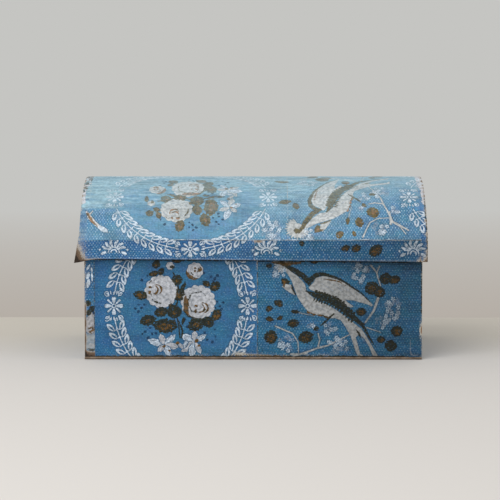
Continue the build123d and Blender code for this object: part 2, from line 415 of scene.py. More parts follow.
class Press:
    """Prints shapes onto the grid of one sheet, ink by ink.

    The grid has its columns at the places `across` and its rows at the places `along`, both in
    mm on the flat sheet. Shapes are placed in the frame that `place` sets.
    """

    def __init__(self, across: Array, along: Array) -> None:
        """Start with an unprinted sheet.

        Args:
            across: places of the columns, rising.
            along: places of the rows, rising.
        """
        self.across = across
        self.along = along
        self.layers: dict[Ink, Array] = {ink: self.flat(UNPRINTED) for ink in Ink}
        self.origin: Point = (0.0, 0.0)
        self.turn = 0.0

    def flat(self, value: float = 0.0) -> Array:
        """Give an even layer of the sheet's size."""
        return np.full((len(self.along), len(self.across)), float(value))

    def place(self, origin: Point = (0.0, 0.0), turn: float = 0.0) -> "Press":
        """Set where the next group's own origin lies and how far it is turned.

        Args:
            origin: place of the group's origin on the sheet, in mm.
            turn: turn of the group in degrees.

        Returns:
            The press itself.
        """
        self.origin = origin
        self.turn = math.radians(turn)
        return self

    def stamp(self, ink: Ink, shape: Shape, at: Point = (0.0, 0.0), turn: float = 0.0, cut: bool = False) -> None:
        """Print one shape, or cut it out of an ink that is already printed.

        Args:
            ink: the layer that is changed.
            shape: the shape.
            at: place of the shape in the group's frame, in mm.
            turn: turn of the shape in the group's frame, in degrees.
            cut: takes the shape out instead of adding it.
        """
        cos, sin, window = math.cos(self.turn), math.sin(self.turn), shape.reach + MARGIN
        centre_x = self.origin[0] + cos * at[0] - sin * at[1]
        centre_y = self.origin[1] + sin * at[0] + cos * at[1]
        rows = slice(*np.searchsorted(self.along, (centre_y - window, centre_y + window)))
        columns = slice(*np.searchsorted(self.across, (centre_x - window, centre_x + window)))
        if rows.start >= rows.stop or columns.start >= columns.stop:
            return
        angle = self.turn + math.radians(turn)
        cos, sin = math.cos(angle), math.sin(angle)
        shift_x = self.across[columns][None, :] - centre_x
        shift_y = self.along[rows][:, None] - centre_y
        depth = shape.depth(cos * shift_x + sin * shift_y, cos * shift_y - sin * shift_x)
        depth = np.clip(depth, UNPRINTED, -UNPRINTED)
        layer = self.layers[ink]
        before = layer[rows, columns]
        layer[rows, columns] = np.minimum(before, -depth) if cut else np.maximum(before, depth)

    def brush(self, *lines: tuple[Ink, Sequence[Point], Sequence[float]]) -> None:
        """Print brushed lines, each given as its ink, its points and its widths there."""
        for ink, points, widths in lines:
            self.stamp(ink, stroke(points, widths))

    def clear(self, inks: Sequence[Ink], shape: Shape, at: Point = (0.0, 0.0), turn: float = 0.0) -> None:
        """Cut one shape out of several inks."""
        for ink in inks:
            self.stamp(ink, shape, at, turn, True)


# Motifs of the wallpaper, drawn afresh after common block prints of the time. Each has its own
# origin, with y up the roll, and sizes in mm.


@dataclass(frozen=True)
class Daisy:
    """An eight-petalled daisy: four broad spoon-shaped petals, four narrow ones and a ringed eye."""

    reach: float = 11.4
    start: float = 4.2

    def print(self, press: Press, at: Point) -> None:
        """Print the daisy.

        Args:
            press: the sheet's press.
            at: its centre in the group's frame.
        """
        for eighth in range(8):
            broad, turn = eighth % 2 == 0, 45.0 * eighth
            end = self.reach - (2.3 if broad else 1.2)
            widths = (1.7, 3.6, 5.4) if broad else (1.5, 1.9, 2.5)
            press.stamp(CHALK, stroke([(self.start, 0), (end * 0.62, 0), (end, 0)], widths), at, turn)
            if broad:
                press.stamp(CHALK, stroke([(end + 1, 0), (end + 4, 0)], (0.5, 1.4)), at, turn, True)
        press.stamp(CHALK, ring(2.3, 1.3), at)


@dataclass(frozen=True)
class Curl:
    """A small spiral tendril: one turn and a third of a spiral that opens as it goes round."""

    size: float = 3.9

    def print(self, press: Press, at: Point, turn: float, hand: float) -> None:
        """Print the curl.

        Args:
            press: the sheet's press.
            at: its eye in the group's frame.
            turn: its turn in degrees.
            hand: 1 or -1, the way in which it is wound.
        """
        angles = np.linspace(0.0, 2.7 * math.pi, 14)
        radii = self.size * (0.12 + 0.88 * angles / angles[-1])
        points = [(float(r * math.cos(a)), float(hand * r * math.sin(a))) for r, a in zip(radii, angles)]
        press.stamp(CHALK, stroke(points, [1.5, *([1.0] * 12), 1.1]), at, turn)


@dataclass(frozen=True)
class Garland:
    """An oval garland of outlined leaves in pairs, with a daisy at each end of its axes."""

    half_width: float = 85.3
    half_height: float = 99.0
    pitch: float = 10.4
    leaf_length: float = 13.4
    leaf_width: float = 6.4
    splay: float = 33.0
    offset: float = 7.5
    clear_of_side: float = 30.4
    clear_of_top: float = 27.0

    def quarter(self) -> tuple[Array, Array, Array]:
        """Measure the oval from its top down to its right side.

        Returns:
            Arc length, and the x and y of each point, at even steps of the angle.
        """
        angles = np.linspace(math.pi / 2, 0.0, 200)
        x = self.half_width * np.cos(angles)
        y = self.half_height * np.sin(angles)
        length = np.concatenate([[0.0], np.cumsum(np.hypot(np.diff(x), np.diff(y)))])
        return length, x, y

    def print(self, press: Press) -> None:
        """Print the field, the four branches and the four daisies.

        Args:
            press: the sheet's press.
        """
        press.stamp(FIELD, oval(self.half_width, self.half_height))
        length, x, y = self.quarter()
        last = length[-1] - self.clear_of_side
        places = last - self.pitch * np.arange(int((last - self.clear_of_top) / self.pitch) + 1)
        for side in (1, -1):
            for top in (1, -1):
                self.branch(press, length, x * side, y * top, places)
        for spot in ((1, 0), (-1, 0), (0, 1), (0, -1)):
            at = (self.half_width * spot[0], self.half_height * spot[1])
            Daisy().print(press, at)
            self.tufts(press, at, bool(spot[0]))

    def branch(self, press: Press, length: Array, x: Array, y: Array, places: Array) -> None:
        """Print one stem with its pairs of leaves, whose tips point along it.

        Args:
            press: the sheet's press.
            length: arc length of the stem's points.
            x: their first coordinate.
            y: their second coordinate.
            places: arc lengths at which the pairs sit.
        """
        stops = np.linspace(places[-1] - 7, places[0] + 14, 16)
        stem = list(zip(np.interp(stops, length, x), np.interp(stops, length, y)))
        press.stamp(CHALK, stroke(stem, [1.25] * len(stem)))
        for place in places:
            here, ahead = (np.array([np.interp(p, length, x), np.interp(p, length, y)]) for p in (place, place + 1))
            heading = math.degrees(math.atan2(*(ahead - here)[::-1]))
            press.stamp(CHALK, oval(1.5, 1.2), here, heading)
            for hand in (1, -1):
                angle = heading + hand * self.splay
                middle = turned(4.2, hand * self.offset, heading, here)
                press.stamp(CHALK, leaf(self.leaf_length, self.leaf_width), middle, angle)
                inner = leaf(self.leaf_length - 4.6, self.leaf_width - 3.9)
                press.stamp(CHALK, inner, polar(-1.5, angle, middle), angle, True)
                press.stamp(CHALK, stroke([here, polar(-6.2, angle, middle)], (0.8, 1.2)))

    def tufts(self, press: Press, at: Point, on_side: bool) -> None:
        """Print the curls and the fans of drops round a daisy.

        Args:
            press: the sheet's press.
            at: the daisy's centre.
            on_side: puts them above and below it, and not beside it.
        """
        for way in (1, -1):
            lead = 90.0 * way if on_side else 90.0 + 90.0 * way
            for hand in (1, -1):
                Curl().print(press, turned(16.0, 8.6 * hand, lead, at), lead + 90, hand)
            for index, fan in enumerate((-25, -13, 0, 13, 25)):
                press.stamp(CHALK, leaf(5.4, 1.7), polar(16.0 + 1.5 * (index % 2), lead + fan, at), lead + fan)


@dataclass(frozen=True)
class Palmette:
    """A spandrel ornament: a crown of plumes over a double half ring, with a bud on each side."""

    plumes: tuple[float, ...] = (-72, -45, -16, 16, 45, 72)

    def print(self, press: Press, at: Point, turn: float) -> None:
        """Print it with its crown along its own y.

        Args:
            press: the sheet's press.
            at: its centre in the group's frame.
            turn: its turn in degrees.
        """
        for lean in self.plumes:
            angle = math.radians(lean)
            root = turned(-9.6 * math.sin(angle), 9.0 * math.cos(angle), turn, at)
            plume = stroke([(-5, 0), (1.5, 0.6), (5.2, -0.6)], (1.6, 3.6, 2.6))
            press.stamp(CHALK, plume, root, turn + 90 + lean)
            press.stamp(CHALK, leaf(4.6, 0.9), root, turn + 90 + lean, True)
        for radius in (3.6, 7.0):
            half_ring = arc(radius, np.linspace(-0.1, math.pi + 0.1, 9))
            press.stamp(CHALK, stroke(half_ring, [1.5] * 9), turned(0, -3, turn, at), turn)
        for hand in (1, -1):
            press.stamp(CHALK, leaf(8, 4), turned(13 * hand, -4.5, turn, at), turn - 28 * hand)
            press.stamp(CHALK, oval(1.5, 1.3), turned(17.5 * hand, 0.5, turn, at))


@dataclass(frozen=True)
class Bloom:
    """A full rose: a scalloped pale head, arcs of shade between its petals and a dark heart.

    Each fold is an arc of shadow: its two angles in degrees, its share of the radius and its width.
    """

    at: Point
    radius: float
    lobes: int
    turn: float
    heart: Point
    folds: Rows

    def arc(self, start: float, end: float, share: float) -> list[Point]:
        """Give points on a circle of a share of the radius, between two angles in degrees."""
        return arc(share * self.radius, np.radians(np.linspace(start, end, 7)))

    def print(self, press: Press) -> None:
        """Print the head, then the petals' shade and dark folds, then the heart.

        Args:
            press: the sheet's press.
        """
        r = self.radius
        press.stamp(CREAM, scalloped(r * 1.04, self.lobes, r * 0.10), self.at, self.turn)
        rng = np.random.default_rng(SEED + int(r * 10) + self.lobes)
        for share, count in ((0.84, 8), (0.62, 6), (0.38, 4)):
            for step in range(count):
                start = math.degrees(rng.uniform(0, 0.9)) + step * 360 / count
                petal = self.arc(start, start + 230 / count, share * rng.uniform(0.93, 1.05))
                press.stamp(SHADE, stroke(petal, (0.2, 0.8, 1.1, 1.2, 1.0, 0.6, 0.2)), self.at)
        for start, end, share, width in self.folds:
            widths = [width * w for w in (0.3, 0.8, 1.0, 1.1, 1.0, 0.8, 0.3)]
            press.stamp(OLIVE, stroke(self.arc(start, end, share), widths), self.at)
        x, y = self.at[0] + self.heart[0], self.at[1] + self.heart[1]
        for dx, dy, size, turn in (
            (0, 0, 0.24, 250), (0.16, 0.02, 0.30, 290), (-0.20, -0.20, 0.11, 80), (-0.26, 0.1, 0.07, 0),
        ):
            curve = arc(size * r, np.linspace(-0.2, 3.0, 9))
            for ink, thick in ((BROWN, 1.0), (OLIVE, 0.72)):
                widths = [thick * w for w in (0.5, 1.4, 2.2, 2.6, 2.6, 2.2, 1.7, 1.2, 0.5)]
                press.stamp(ink, stroke(curve, widths), (x + dx * r, y + dy * r), self.turn + turn)


@dataclass(frozen=True)
class Foliage:
    """A broad olive leaf with a toothed edge, warmer between its dark ribs."""

    at: Point
    length: float
    width: float
    turn: float
    warm: float

    def print(self, press: Press) -> None:
        """Print the leaf, its warm middle and its dark ribs.

        Args:
            press: the sheet's press.
        """
        long, wide = self.length, self.width
        press.stamp(OLIVE, serrated(long, wide, 11, min(long, wide) * 0.09), self.at, self.turn)
        size = self.warm**0.5
        place = (self.at[0], self.at[1] - wide * 0.06)
        press.stamp(BROWN, serrated(long * 0.72 * size, wide * 0.6 * size, 5, wide * 0.09), place, self.turn)
        press.stamp(BROWN, stroke([(-long / 2, 0), (long / 2, 0)], (0.9, 0.5)), place, self.turn, True)
        ribs = max(2, int(long / 3.6))
        for rib in range(ribs):
            x = long * (-0.32 + 0.64 * (rib + 0.5) / ribs)
            line = [(x + 1.4, -wide * 0.36), (x - 0.9, 0), (x + 1.4, wide * 0.36)]
            press.stamp(BROWN, stroke(line, (0.4, 1.0, 0.4)), place, self.turn, True)


def print_leaves(press: Press, rows: Rows) -> None:
    """Print broad leaves, each given as its x, y, length, width, turn and warmth."""
    for x, y, *sizes in rows:
        Foliage((x, y), *sizes).print(press)


@dataclass(frozen=True)
class Posy:
    """The bouquet inside the garland: two roses, buds, lilies, leaves and sprigs of dark dots.

    A leaf's row is that of print_leaves. A lily's is its centre, then the turn, length and width
    of each petal. An eye's is its x, y and size.
    """

    blooms: tuple[Bloom, ...] = (
        Bloom((-24.8, 18.6), 20.6, 13, 10, (-9, 2), ((222, 275, 0.74, 2), (185, 204, 0.66, 1.6), (130, 150, 0.9, 0.9))),
        Bloom(
            (22.4, 4.6), 21.6, 14, 0, (2.5, -7.5),
            ((205, 258, 0.98, 2.6), (138, 168, 0.66, 1.1), (345, 15, 0.66, 1.2)),
        ),
        Bloom((18.4, 45.2), 10.2, 9, 20, (3, 1.5), ((190, 250, 0.55, 1.2),)),
    )
    leaves: Rows = (
        (-51, 13.8, 19, 14, 172, 0.9), (-31.3, 52.8, 10.5, 11.5, 40, 0.3), (-34.5, 41.2, 13, 8.5, 15, 0.7),
        (-24.8, 43.8, 10.5, 9, 60, 0.3), (-4.4, 57.5, 13, 6.5, 5, 0.5), (-4.6, 33, 10, 15, 15, 0.4),
        (-2.2, 14.5, 10, 17, -8, 0.8), (-25, -7.8, 18.5, 14.5, 10, 0.6), (-42, -18.4, 21.5, 16, 12, 0.4),
        (-20, -25.6, 31, 21.5, 178, 0.8), (19.5, -23.6, 23, 19, 30, 0.5), (34.6, -20.6, 17, 16, 150, 0.3),
        (45.8, -11.4, 15.5, 14.5, 60, 1.2), (44, 25.1, 15, 14, 40, 0.5), (32.8, 28.4, 11, 9, 150, 0.9),
        (-8.2, -7.5, 10.5, 19, 6, 0.4), (-10.6, 50, 6, 5, 0, 0.2), (-9.5, 24, 9, 6, 70, 0.3),
        (3.5, 24.5, 11, 6.5, 60, 0.2), (-13, 1, 9, 6, 120, 0.3), (3, -19, 10, 5, 80, 0.2), (-8, -22, 10, 5.5, 100, 0.4),
    )
    stems: tuple[tuple[Point, ...], ...] = (
        ((5.5, 30.8), (1.2, 22), (-0.5, 12)),
        ((-9.5, 43), (-4, 30), (-2.5, 18)),
        ((-1, 14), (-6, 0), (-5.4, -11), (-2.6, -24), (-1, -41)),
        ((-2.4, -20), (2.4, -32), (1, -41.5)),
    )
    sprigs: tuple[Point, ...] = (
        (-54, 1.6), (-50.2, -2.6), (-54.2, -7.4), (-46.6, 1.6), (-58, -3.5), (-49.5, 33), (-42.2, 38.5),
        (-45.5, -33), (-41.8, -41), (-49.2, -36), (-36.8, -36), (-31.9, -35.2), (-39, -28.5),
        (38.8, 37.4), (43.6, 34.8), (41.8, 31), (29.8, 42.2), (47, 39),
        (46.8, 5.4), (50.2, -0.4), (51.8, -4.4), (44.5, -2), (54.5, 4.5),
        (8.6, -27), (43.6, -30.4), (33.8, -43.4), (40.4, -46.4), (44.4, -39.2), (30.6, -34.4), (5, -17),
    )
    lilies: tuple[tuple[Point, Rows], ...] = (
        ((-20.8, -50.2), ((163, 21, 10), (112, 14, 9), (44, 18, 9), (-8, 17, 10), (-64, 14, 10), (-136, 11, 8))),
        ((18.1, -46.1), ((153, 18, 11), (92, 13, 9), (33, 16, 8), (216, 20, 11), (254, 19, 11), (296, 16, 8))),
        ((3.5, -55.5), ((70, 12, 6), (130, 10, 6))),
    )
    eyes: Rows = ((-21.4, -51.7, 2), (20.3, -44.7, 2.8), (23.2, -51, 2.2), (-15, -57.4, 1.6), (-4.6, -47.6, 2.4))

    def print(self, press: Press) -> None:
        """Print leaves and stems, then the flowers over them, then the sprigs.

        Args:
            press: the sheet's press.
        """
        for points in self.stems:
            press.stamp(OLIVE, stroke(points, [1.5 + 0.8 * (i % 2) for i in range(len(points))]))
        print_leaves(press, self.leaves)
        for bloom in self.blooms:
            head = bloom.radius * 0.93
            press.clear((OLIVE, BROWN, NAVY), oval(head, head), bloom.at)
            bloom.print(press)
        self.cups(press)
        for centre, petals in self.lilies:
            self.lily(press, centre, petals)
        for x, y, size in self.eyes:
            press.stamp(BROWN, oval(size, size * 0.8), (x, y), 35)
            press.stamp(OLIVE, oval(size * 0.75, size * 0.65), (x + 0.5, y - 0.4))
        for index, at in enumerate(self.sprigs):
            size = 1.5 + 0.35 * ((index * 7) % 3)
            press.stamp(NAVY, oval(size, size * 0.8), at, 30.0 * index)
            press.stamp(NAVY, stroke([at, (at[0] * 0.93, at[1] * 0.93)], (0.8, 0.4)))

    def lily(self, press: Press, centre: Point, petals: Rows) -> None:
        """Print one lily: its petals by turns chalk and cream, each with a rim cut round it and two ribs.

        Args:
            press: the sheet's press.
            centre: where its petals meet.
            petals: turn, length and width of each.
        """
        for number, (turn, length, width) in enumerate(petals):
            at = polar(0.8 + length / 2, turn, centre)
            press.clear((CREAM, CHALK), leaf(length + 0.6, width + 1.1), at, turn)
            press.stamp(CREAM if number % 2 else CHALK, serrated(length, width, 7, 1.0), at, turn)
            for side in (-0.16, 0.2):
                rib = [(-length * 0.36, side * width), (length * 0.1, 1.4 * side * width), (length * 0.4, 0)]
                press.stamp(SHADE, stroke(rib, (0.7, 1.8, 0.6)), at, turn)

    def cups(self, press: Press) -> None:
        """Print the buds' warm cups and the warm shade under the right rose.

        Args:
            press: the sheet's press.
        """
        cup, under = arc(12.5, np.linspace(3.3, 4.9, 7)), arc(20.8, np.linspace(3.5, 4.7, 8))
        press.stamp(BROWN, stroke(cup, (1, 3.4, 4.6, 5, 4.4, 3, 1)), (19.4, 47.4))
        press.stamp(CREAM, scalloped(5.2, 6, 0.8), (-13.4, 51.4))
        press.brush((BROWN, [(6.2, 11), (7, 4), (6.8, -4), (9.6, -11)], (3.4, 7.2, 6.4, 1.6)))
        press.stamp(CREAM, leaf(14, 8), (5.8, 15.5), 62)
        press.stamp(OLIVE, stroke(under, (0.8, 1.8, 2.4, 2.4, 2.2, 1.6, 1.2, 0.6)), (22.4, 4.6))


@dataclass(frozen=True)
class Medallion:
    """The oval garland with its posy, and a palmette in each of its four spandrels."""

    spandrel: Point = (87.0, 97.0)

    def print(self, press: Press) -> None:
        """Print the medallion round the group's origin.

        Args:
            press: the sheet's press.
        """
        Garland().print(press)
        Posy().print(press)
        for x in (-self.spandrel[0], self.spandrel[0]):
            for y in (self.spandrel[1], -self.spandrel[1]):
                Palmette().print(press, (x, y), math.copysign(90.0, x))


@dataclass(frozen=True)
class Songbird:
    """A crested bird with raised wings among twigs, leaves and blossom. Its crest is the origin.

    A leaf's row is that of print_leaves. A blossom's is its x, y, half width and half height.
    """

    body: tuple[Point, ...] = (
        (-5, -9), (3, -16), (12, -22.5), (20.5, -31.5), (22.5, -41), (28, -47), (37.5, -53.5), (47, -57.5), (56, -62),
        (62, -66), (71, -72.5), (79, -78.5), (87, -85), (93, -89.5), (98, -97), (105.5, -109.5), (114.5, -125),
        (107.5, -124), (103, -112), (96.5, -101.5), (90, -96.5), (85.5, -100), (88.5, -110.5), (91.5, -121.5),
        (97.5, -125), (89, -125), (85.5, -118), (82.5, -108), (79, -98), (73, -87.5), (66.5, -78), (59, -75.5),
        (49.5, -76), (43.5, -73), (34.5, -71.5), (25, -67.5), (17.5, -58), (11.5, -49), (8, -39.5), (3.5, -27),
        (-3, -16.5),
    )
    wing: tuple[Point, ...] = (
        (31, -30.5), (34.4, -24.1), (43.6, -21.8), (59.1, -23.3), (73, -31), (86.9, -41.1), (99.3, -50.4),
        (107, -58.1), (106, -60.5), (99.3, -57.4), (90, -55), (82.3, -52.7), (72, -52.2), (75, -55), (82.5, -60.5),
        (79, -62), (69.5, -58.5), (60, -51), (49.8, -45), (37.5, -42.7), (28.2, -39.6), (25.1, -36.5),
    )
    neck: tuple[Point, ...] = (
        (-9.5, -2), (-6.5, -7), (2, -11.5), (9, -15.5), (18.5, -21.5), (24.5, -28), (26.5, -32.5),
    )
    upper: tuple[Point, ...] = (
        (26, -29.5), (29, -25), (34, -20.5), (42, -18.7), (51.4, -20.7), (65.3, -25.8), (80.7, -35.7), (93.1, -43.6),
        (105.5, -57.4),
    )
    lower: tuple[Point, ...] = (
        (22.8, -41), (32.8, -45.8), (46.7, -49.8), (59.1, -54.2), (68.4, -60.4), (76.1, -69), (85.4, -76.9),
        (94.6, -84.6), (99.3, -93.7), (105.5, -104.6), (111.8, -114),
    )
    leaves: Rows = (
        (-25.1, -8.6, 8, 8, 0, 0.2), (-25.1, -63.6, 10, 9, 30, 1.1), (-12.8, -56.6, 12.5, 10.5, 150, 0.9),
        (-24.4, -76.7, 11, 7.5, 165, 1), (-11.2, -75.2, 9, 6, 20, 1), (5.8, -82.1, 16, 12.5, 10, 0.7),
        (8.1, -67.4, 11.5, 6, 175, 0.3), (-22.8, -99.9, 17, 19, 60, 1), (22, -99.9, 19.5, 18, 20, 0.8),
        (35.1, -89.1, 8, 6.5, 30, 0.2), (92.3, -67.4, 13.5, 12.5, 0, 1), (106, -37, 13, 19, 10, 0.9),
        (115.5, -42, 13.5, 16, -15, 1), (123.5, -24.9, 13, 16.5, 25, 0.4), (134.8, -26.4, 15.5, 13, 10, 1),
        (137.9, -92.2, 13.5, 16, 10, 1.1), (117.8, -103, 11, 10.5, 0, 0.9), (130.2, -110.8, 8.5, 16, -10, 0.1),
        (41.4, 12.5, 16, 10, 100, 0.7), (33.6, -1.6, 13, 10, 20, 0.8), (95.3, 15.9, 19.5, 11, 80, 0.4),
    )
    blossoms: Rows = (
        (-13.6, -16.4, 9.5, 8), (90.8, -17.9, 11, 13.5), (132.5, -64.3, 11, 14.5), (119.4, -79.8, 9, 8.5),
        (-2.7, -109.2, 9.5, 11), (62.2, -110.8, 13, 11.5), (52.9, -89.1, 8, 7), (29, -84.4, 5, 5), (-8, 30, 17, 13),
        (24, -128, 8, 6),
    )
    twigs: tuple[tuple[tuple[Point, ...], float], ...] = (
        (((104.5, -8), (111.6, -16.4), (114.7, -27.2), (117, -34)), 2),
        (((115.5, -9), (113.5, -13.5), (112.2, -19)), 1.5),
        (((114, -50.4), (108.5, -65.9), (97.7, -81.3)), 3),
        (((99.3, -87.5), (117.8, -93.7)), 1.3),
        (((-16.6, -86), (5, -95.3), (11.9, -106.1), (12.7, -120)), 1.6),
        (((6.3, -124.5), (25.1, -118.5), (37.5, -113.8), (39.8, -103), (37.5, -95.3)), 2.2),
        (((37.5, -113.8), (49.8, -110.8), (77.6, -96.8)), 2),
        (((3, -122), (23.5, -121.5)), 2.2),
        (((6.3, -124.5), (2, -132), (-6.5, -144.5)), 3),
        (((6.3, -124.5), (-1, -134), (-12, -141)), 2),
        (((8.1, -67.4), (22, -70.5), (31.3, -72.8)), 0.9),
    )
    feathers: Rows = (
        (40, -30, 62, -46), (50, -29, 75, -47.5), (60, -30, 88, -50.5), (36, -35, 52, -43), (12, -30, 16, -48),
        (16, -38, 26, -58), (30, -58, 48, -68), (66, -76, 82, -99), (80, -84, 98, -108),
    )

    def print(self, press: Press) -> None:
        """Print twigs and leaves, then the bird over them.

        Args:
            press: the sheet's press.
        """
        for points, width in self.twigs:
            press.stamp(CREAM, stroke(points, [width * s for s in np.linspace(1.1, 0.6, len(points))]))
        print_leaves(press, self.leaves)
        self.sprays(press)
        self.crest(press)
        for outline in (self.body, self.wing):
            press.stamp(CREAM, patch(outline))
            press.clear((OLIVE, BROWN), patch(outline))
        self.plumage(press)
        self.head(press)

    def sprays(self, press: Press) -> None:
        """Print the clusters of blossom: little five-petalled rings scattered in an ellipse.

        Args:
            press: the sheet's press.
        """
        rng = np.random.default_rng(SEED + 5)
        for x, y, half_width, half_height in self.blossoms:
            for number in range(max(4, int(half_width * half_height / 5))):
                reach, angle = math.sqrt(rng.uniform(0.02, 1)), rng.uniform(0, 2 * math.pi)
                spot = (x + half_width * reach * math.cos(angle), y + half_height * reach * math.sin(angle))
                ink = CHALK if number % 2 else SHADE
                press.stamp(ink, rays(5, 0.6, rng.uniform(2.2, 3.4), 1.5, rng.uniform(0, 72)), spot)
                press.stamp(ink, oval(0.7, 0.7), spot, 0, True)

    def crest(self, press: Press) -> None:
        """Print the fan of plumes behind the head.

        Args:
            press: the sheet's press.
        """
        for index, lean in enumerate(np.linspace(25, 245, 17)):
            tip = 16.5 + 1.2 * (index % 2)
            press.stamp(CREAM, leaf(tip - 2.0, 3.4), polar(tip / 2 + 1, lean, (-3, -4)), float(lean))
        press.stamp(CREAM, oval(7.0, 6.0), (-3, -4))
        press.stamp(OLIVE, oval(4.6, 3.4), (-7.5, -2.5), 50)

    def plumage(self, press: Press) -> None:
        """Print the dark bands of neck, wings and tail, and the strokes between feathers.

        Args:
            press: the sheet's press.
        """
        press.brush(
            (OLIVE, self.neck, (4, 4.6, 5.8, 7, 7.2, 7.4, 4)),
            (OLIVE, self.upper, (6.4, 6.2, 5.6, 5, 4.2, 3, 2.2, 1.8, 0.8)),
            (OLIVE, self.lower, (2.4, 6, 9, 10.4, 10.4, 9, 6.6, 4.8, 3.2, 2.2, 0.8)),
            (BROWN, ((44, -25.5), (53, -26.5), (63, -28.5), (73.5, -34)), (0.8, 1.6, 1.2, 0.5)),
            (OLIVE, ((86, -90), (90, -95.5), (92, -101)), (1, 3.4, 1)),
            (OLIVE, ((43, -72), (51.4, -75.5), (57.5, -70)), (1.6, 3.2, 1.6)),
            (OLIVE, ((51.4, -75.5), (47, -80), (41, -85)), (1.6, 3.2, 1.6)),
        )
        steps = np.linspace(34, 82, 15)
        for x, y in zip(steps, np.interp(steps, *zip(*self.lower[:7]))):
            press.stamp(OLIVE, oval(2.6, 2.0), (x + 1.0, y + 4.4), 50)
            press.stamp(OLIVE, leaf(6.4, 2.2), (x - 1.5, y - 5.6), 66)
        for x0, y0, x1, y1 in self.feathers:
            middle = ((x0 + x1) / 2 + 1.2, (y0 + y1) / 2 + 0.8)
            press.stamp(SHADE, stroke([(x0, y0), middle, (x1, y1)], (0.4, 1.3, 0.4)))
        breast = ((24, -67.5), (31.5, -70.5), (38.5, -71.8), (44, -72.5), (49.5, -75))
        for start, end in zip(breast, breast[1:]):
            press.stamp(BROWN, stroke((start, end), (2.4, 0.8)))

    def head(self, press: Press) -> None:
        """Print the head with its beak and the dark line behind the cheek.

        Args:
            press: the sheet's press.
        """
        cheek = ((-8.6, -34.9), (-4.3, -31.8), (2.7, -32.6), (5.8, -39.6), (8.4, -46.5), (1.9, -43), (-4.3, -38.8))
        beak = ((-10.5, -24.9), (-4.3, -24.4), (1.9, -28.4), (-0.4, -32.6), (-4.3, -31.5), (-5.5, -36.8), (-9.2, -31.1))
        press.stamp(CREAM, patch(cheek))
        press.stamp(OLIVE, patch(beak))
        press.brush(
            (BROWN, ((-8, -27.5), (-4.5, -29.5), (-6.5, -34)), (2, 2.6, 1)),
            (OLIVE, ((3.8, -32.6), (5, -38), (8.4, -45)), (1.4, 2.6, 1.6)),
        )


# Sheets and boards as grids


def node_box(name: str) -> tuple[list[float], list[float]]:
    """Give a node's lowest and highest corners in mm."""
    low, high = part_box(name)
    return [float(v) / MM for v in low], [float(v) / MM for v in high]


def fold_path(corners: Sequence[Point], steps: Sequence[float], radius: float = 0.5) -> tuple[Array, Array]:
    """Walk along a folded line whose corners are rounded.

    Each run is cut short by the radius at its inner corners, and each corner is a quadratic
    curve between the two cut ends.

    Args:
        corners: the line's corners in mm.
        steps: spacing of the points on each run, in mm.
        radius: how far the rounding reaches from a corner.

    Returns:
        The points, and the distance of each along the line.
    """
    nodes = np.array(corners, float)
    found: list[Array] = []
    for index, step in enumerate(steps):
        start, end = nodes[index], nodes[index + 1]
        way = (end - start) / np.linalg.norm(end - start)
        begin = start + way * (radius if index else 0.0)
        stop = end - way * (radius if index < len(steps) - 1 else 0.0)
        count = max(2, int(round(float(np.linalg.norm(stop - begin)) / step)) + 1)
        found.append(begin + (stop - begin) * np.linspace(0, 1, count)[:, None])
        if index < len(steps) - 1:
            after = nodes[index + 2] - end
            leave = end + after / np.linalg.norm(after) * radius
            share = np.linspace(0, 1, 5)[1:-1, None]
            found.append((1 - share) ** 2 * stop + 2 * share * (1 - share) * end + share**2 * leave)
    points = np.concatenate(found)
    return points, walked(points)


def walked(points: Array) -> Array:
    """Measure how far along a line each of its points lies."""
    return np.concatenate([[0.0], np.cumsum(np.linalg.norm(np.diff(points, axis=0), axis=1))])


def spread(start: float, end: float, step: float) -> Array:
    """Give even places from start to end, about step apart."""
    return np.linspace(start, end, max(2, int(round(abs(end - start) / step)) + 1))


def stepped(ends: Sequence[float], steps: Sequence[float]) -> Array:
    """Give places from the first end to the last, with a step of its own between each two ends."""
    runs = [spread(start, end, step) for start, end, step in zip(ends, ends[1:], steps)]
    return np.concatenate([runs[0], *(run[1:] for run in runs[1:])])


def grid_normals(grid: Array) -> Array:
    """Give a grid's unit normals: the cross product of its column and row differences."""
    normal = np.cross(np.gradient(grid, axis=1), np.gradient(grid, axis=0))
    return normal / (np.linalg.norm(normal, axis=2, keepdims=True) + TINY * MM)


def carried(section: Array, ways: Array, axis: int) -> Array:
    """Carry a section straight along an axis: a row for each of its points, a column for each way.

    Args:
        section: points in the two other axes, in their order.
        ways: places along the axis.
        axis: 0, 1 or 2 for x, y or z.

    Returns:
        The grid of places.
    """
    grid = np.zeros((len(section), len(ways), 3))
    first, second = (other for other in range(3) if other != axis)
    grid[..., axis] = ways
    grid[..., first], grid[..., second] = section[:, None, 0], section[:, None, 1]
    return grid


def cockled(outer: Array, press: Press, height: float, wavelength: float, seed: int) -> Array:
    """Raise a glued sheet in shallow cockles along its normals: height times (1 + ripple) / 2."""
    bumps = 0.5 + 0.5 * np.clip(ripple(press.across[None, :], press.along[:, None], wavelength, seed), -1, 1)
    return outer + height * bumps[..., None] * grid_normals(outer)


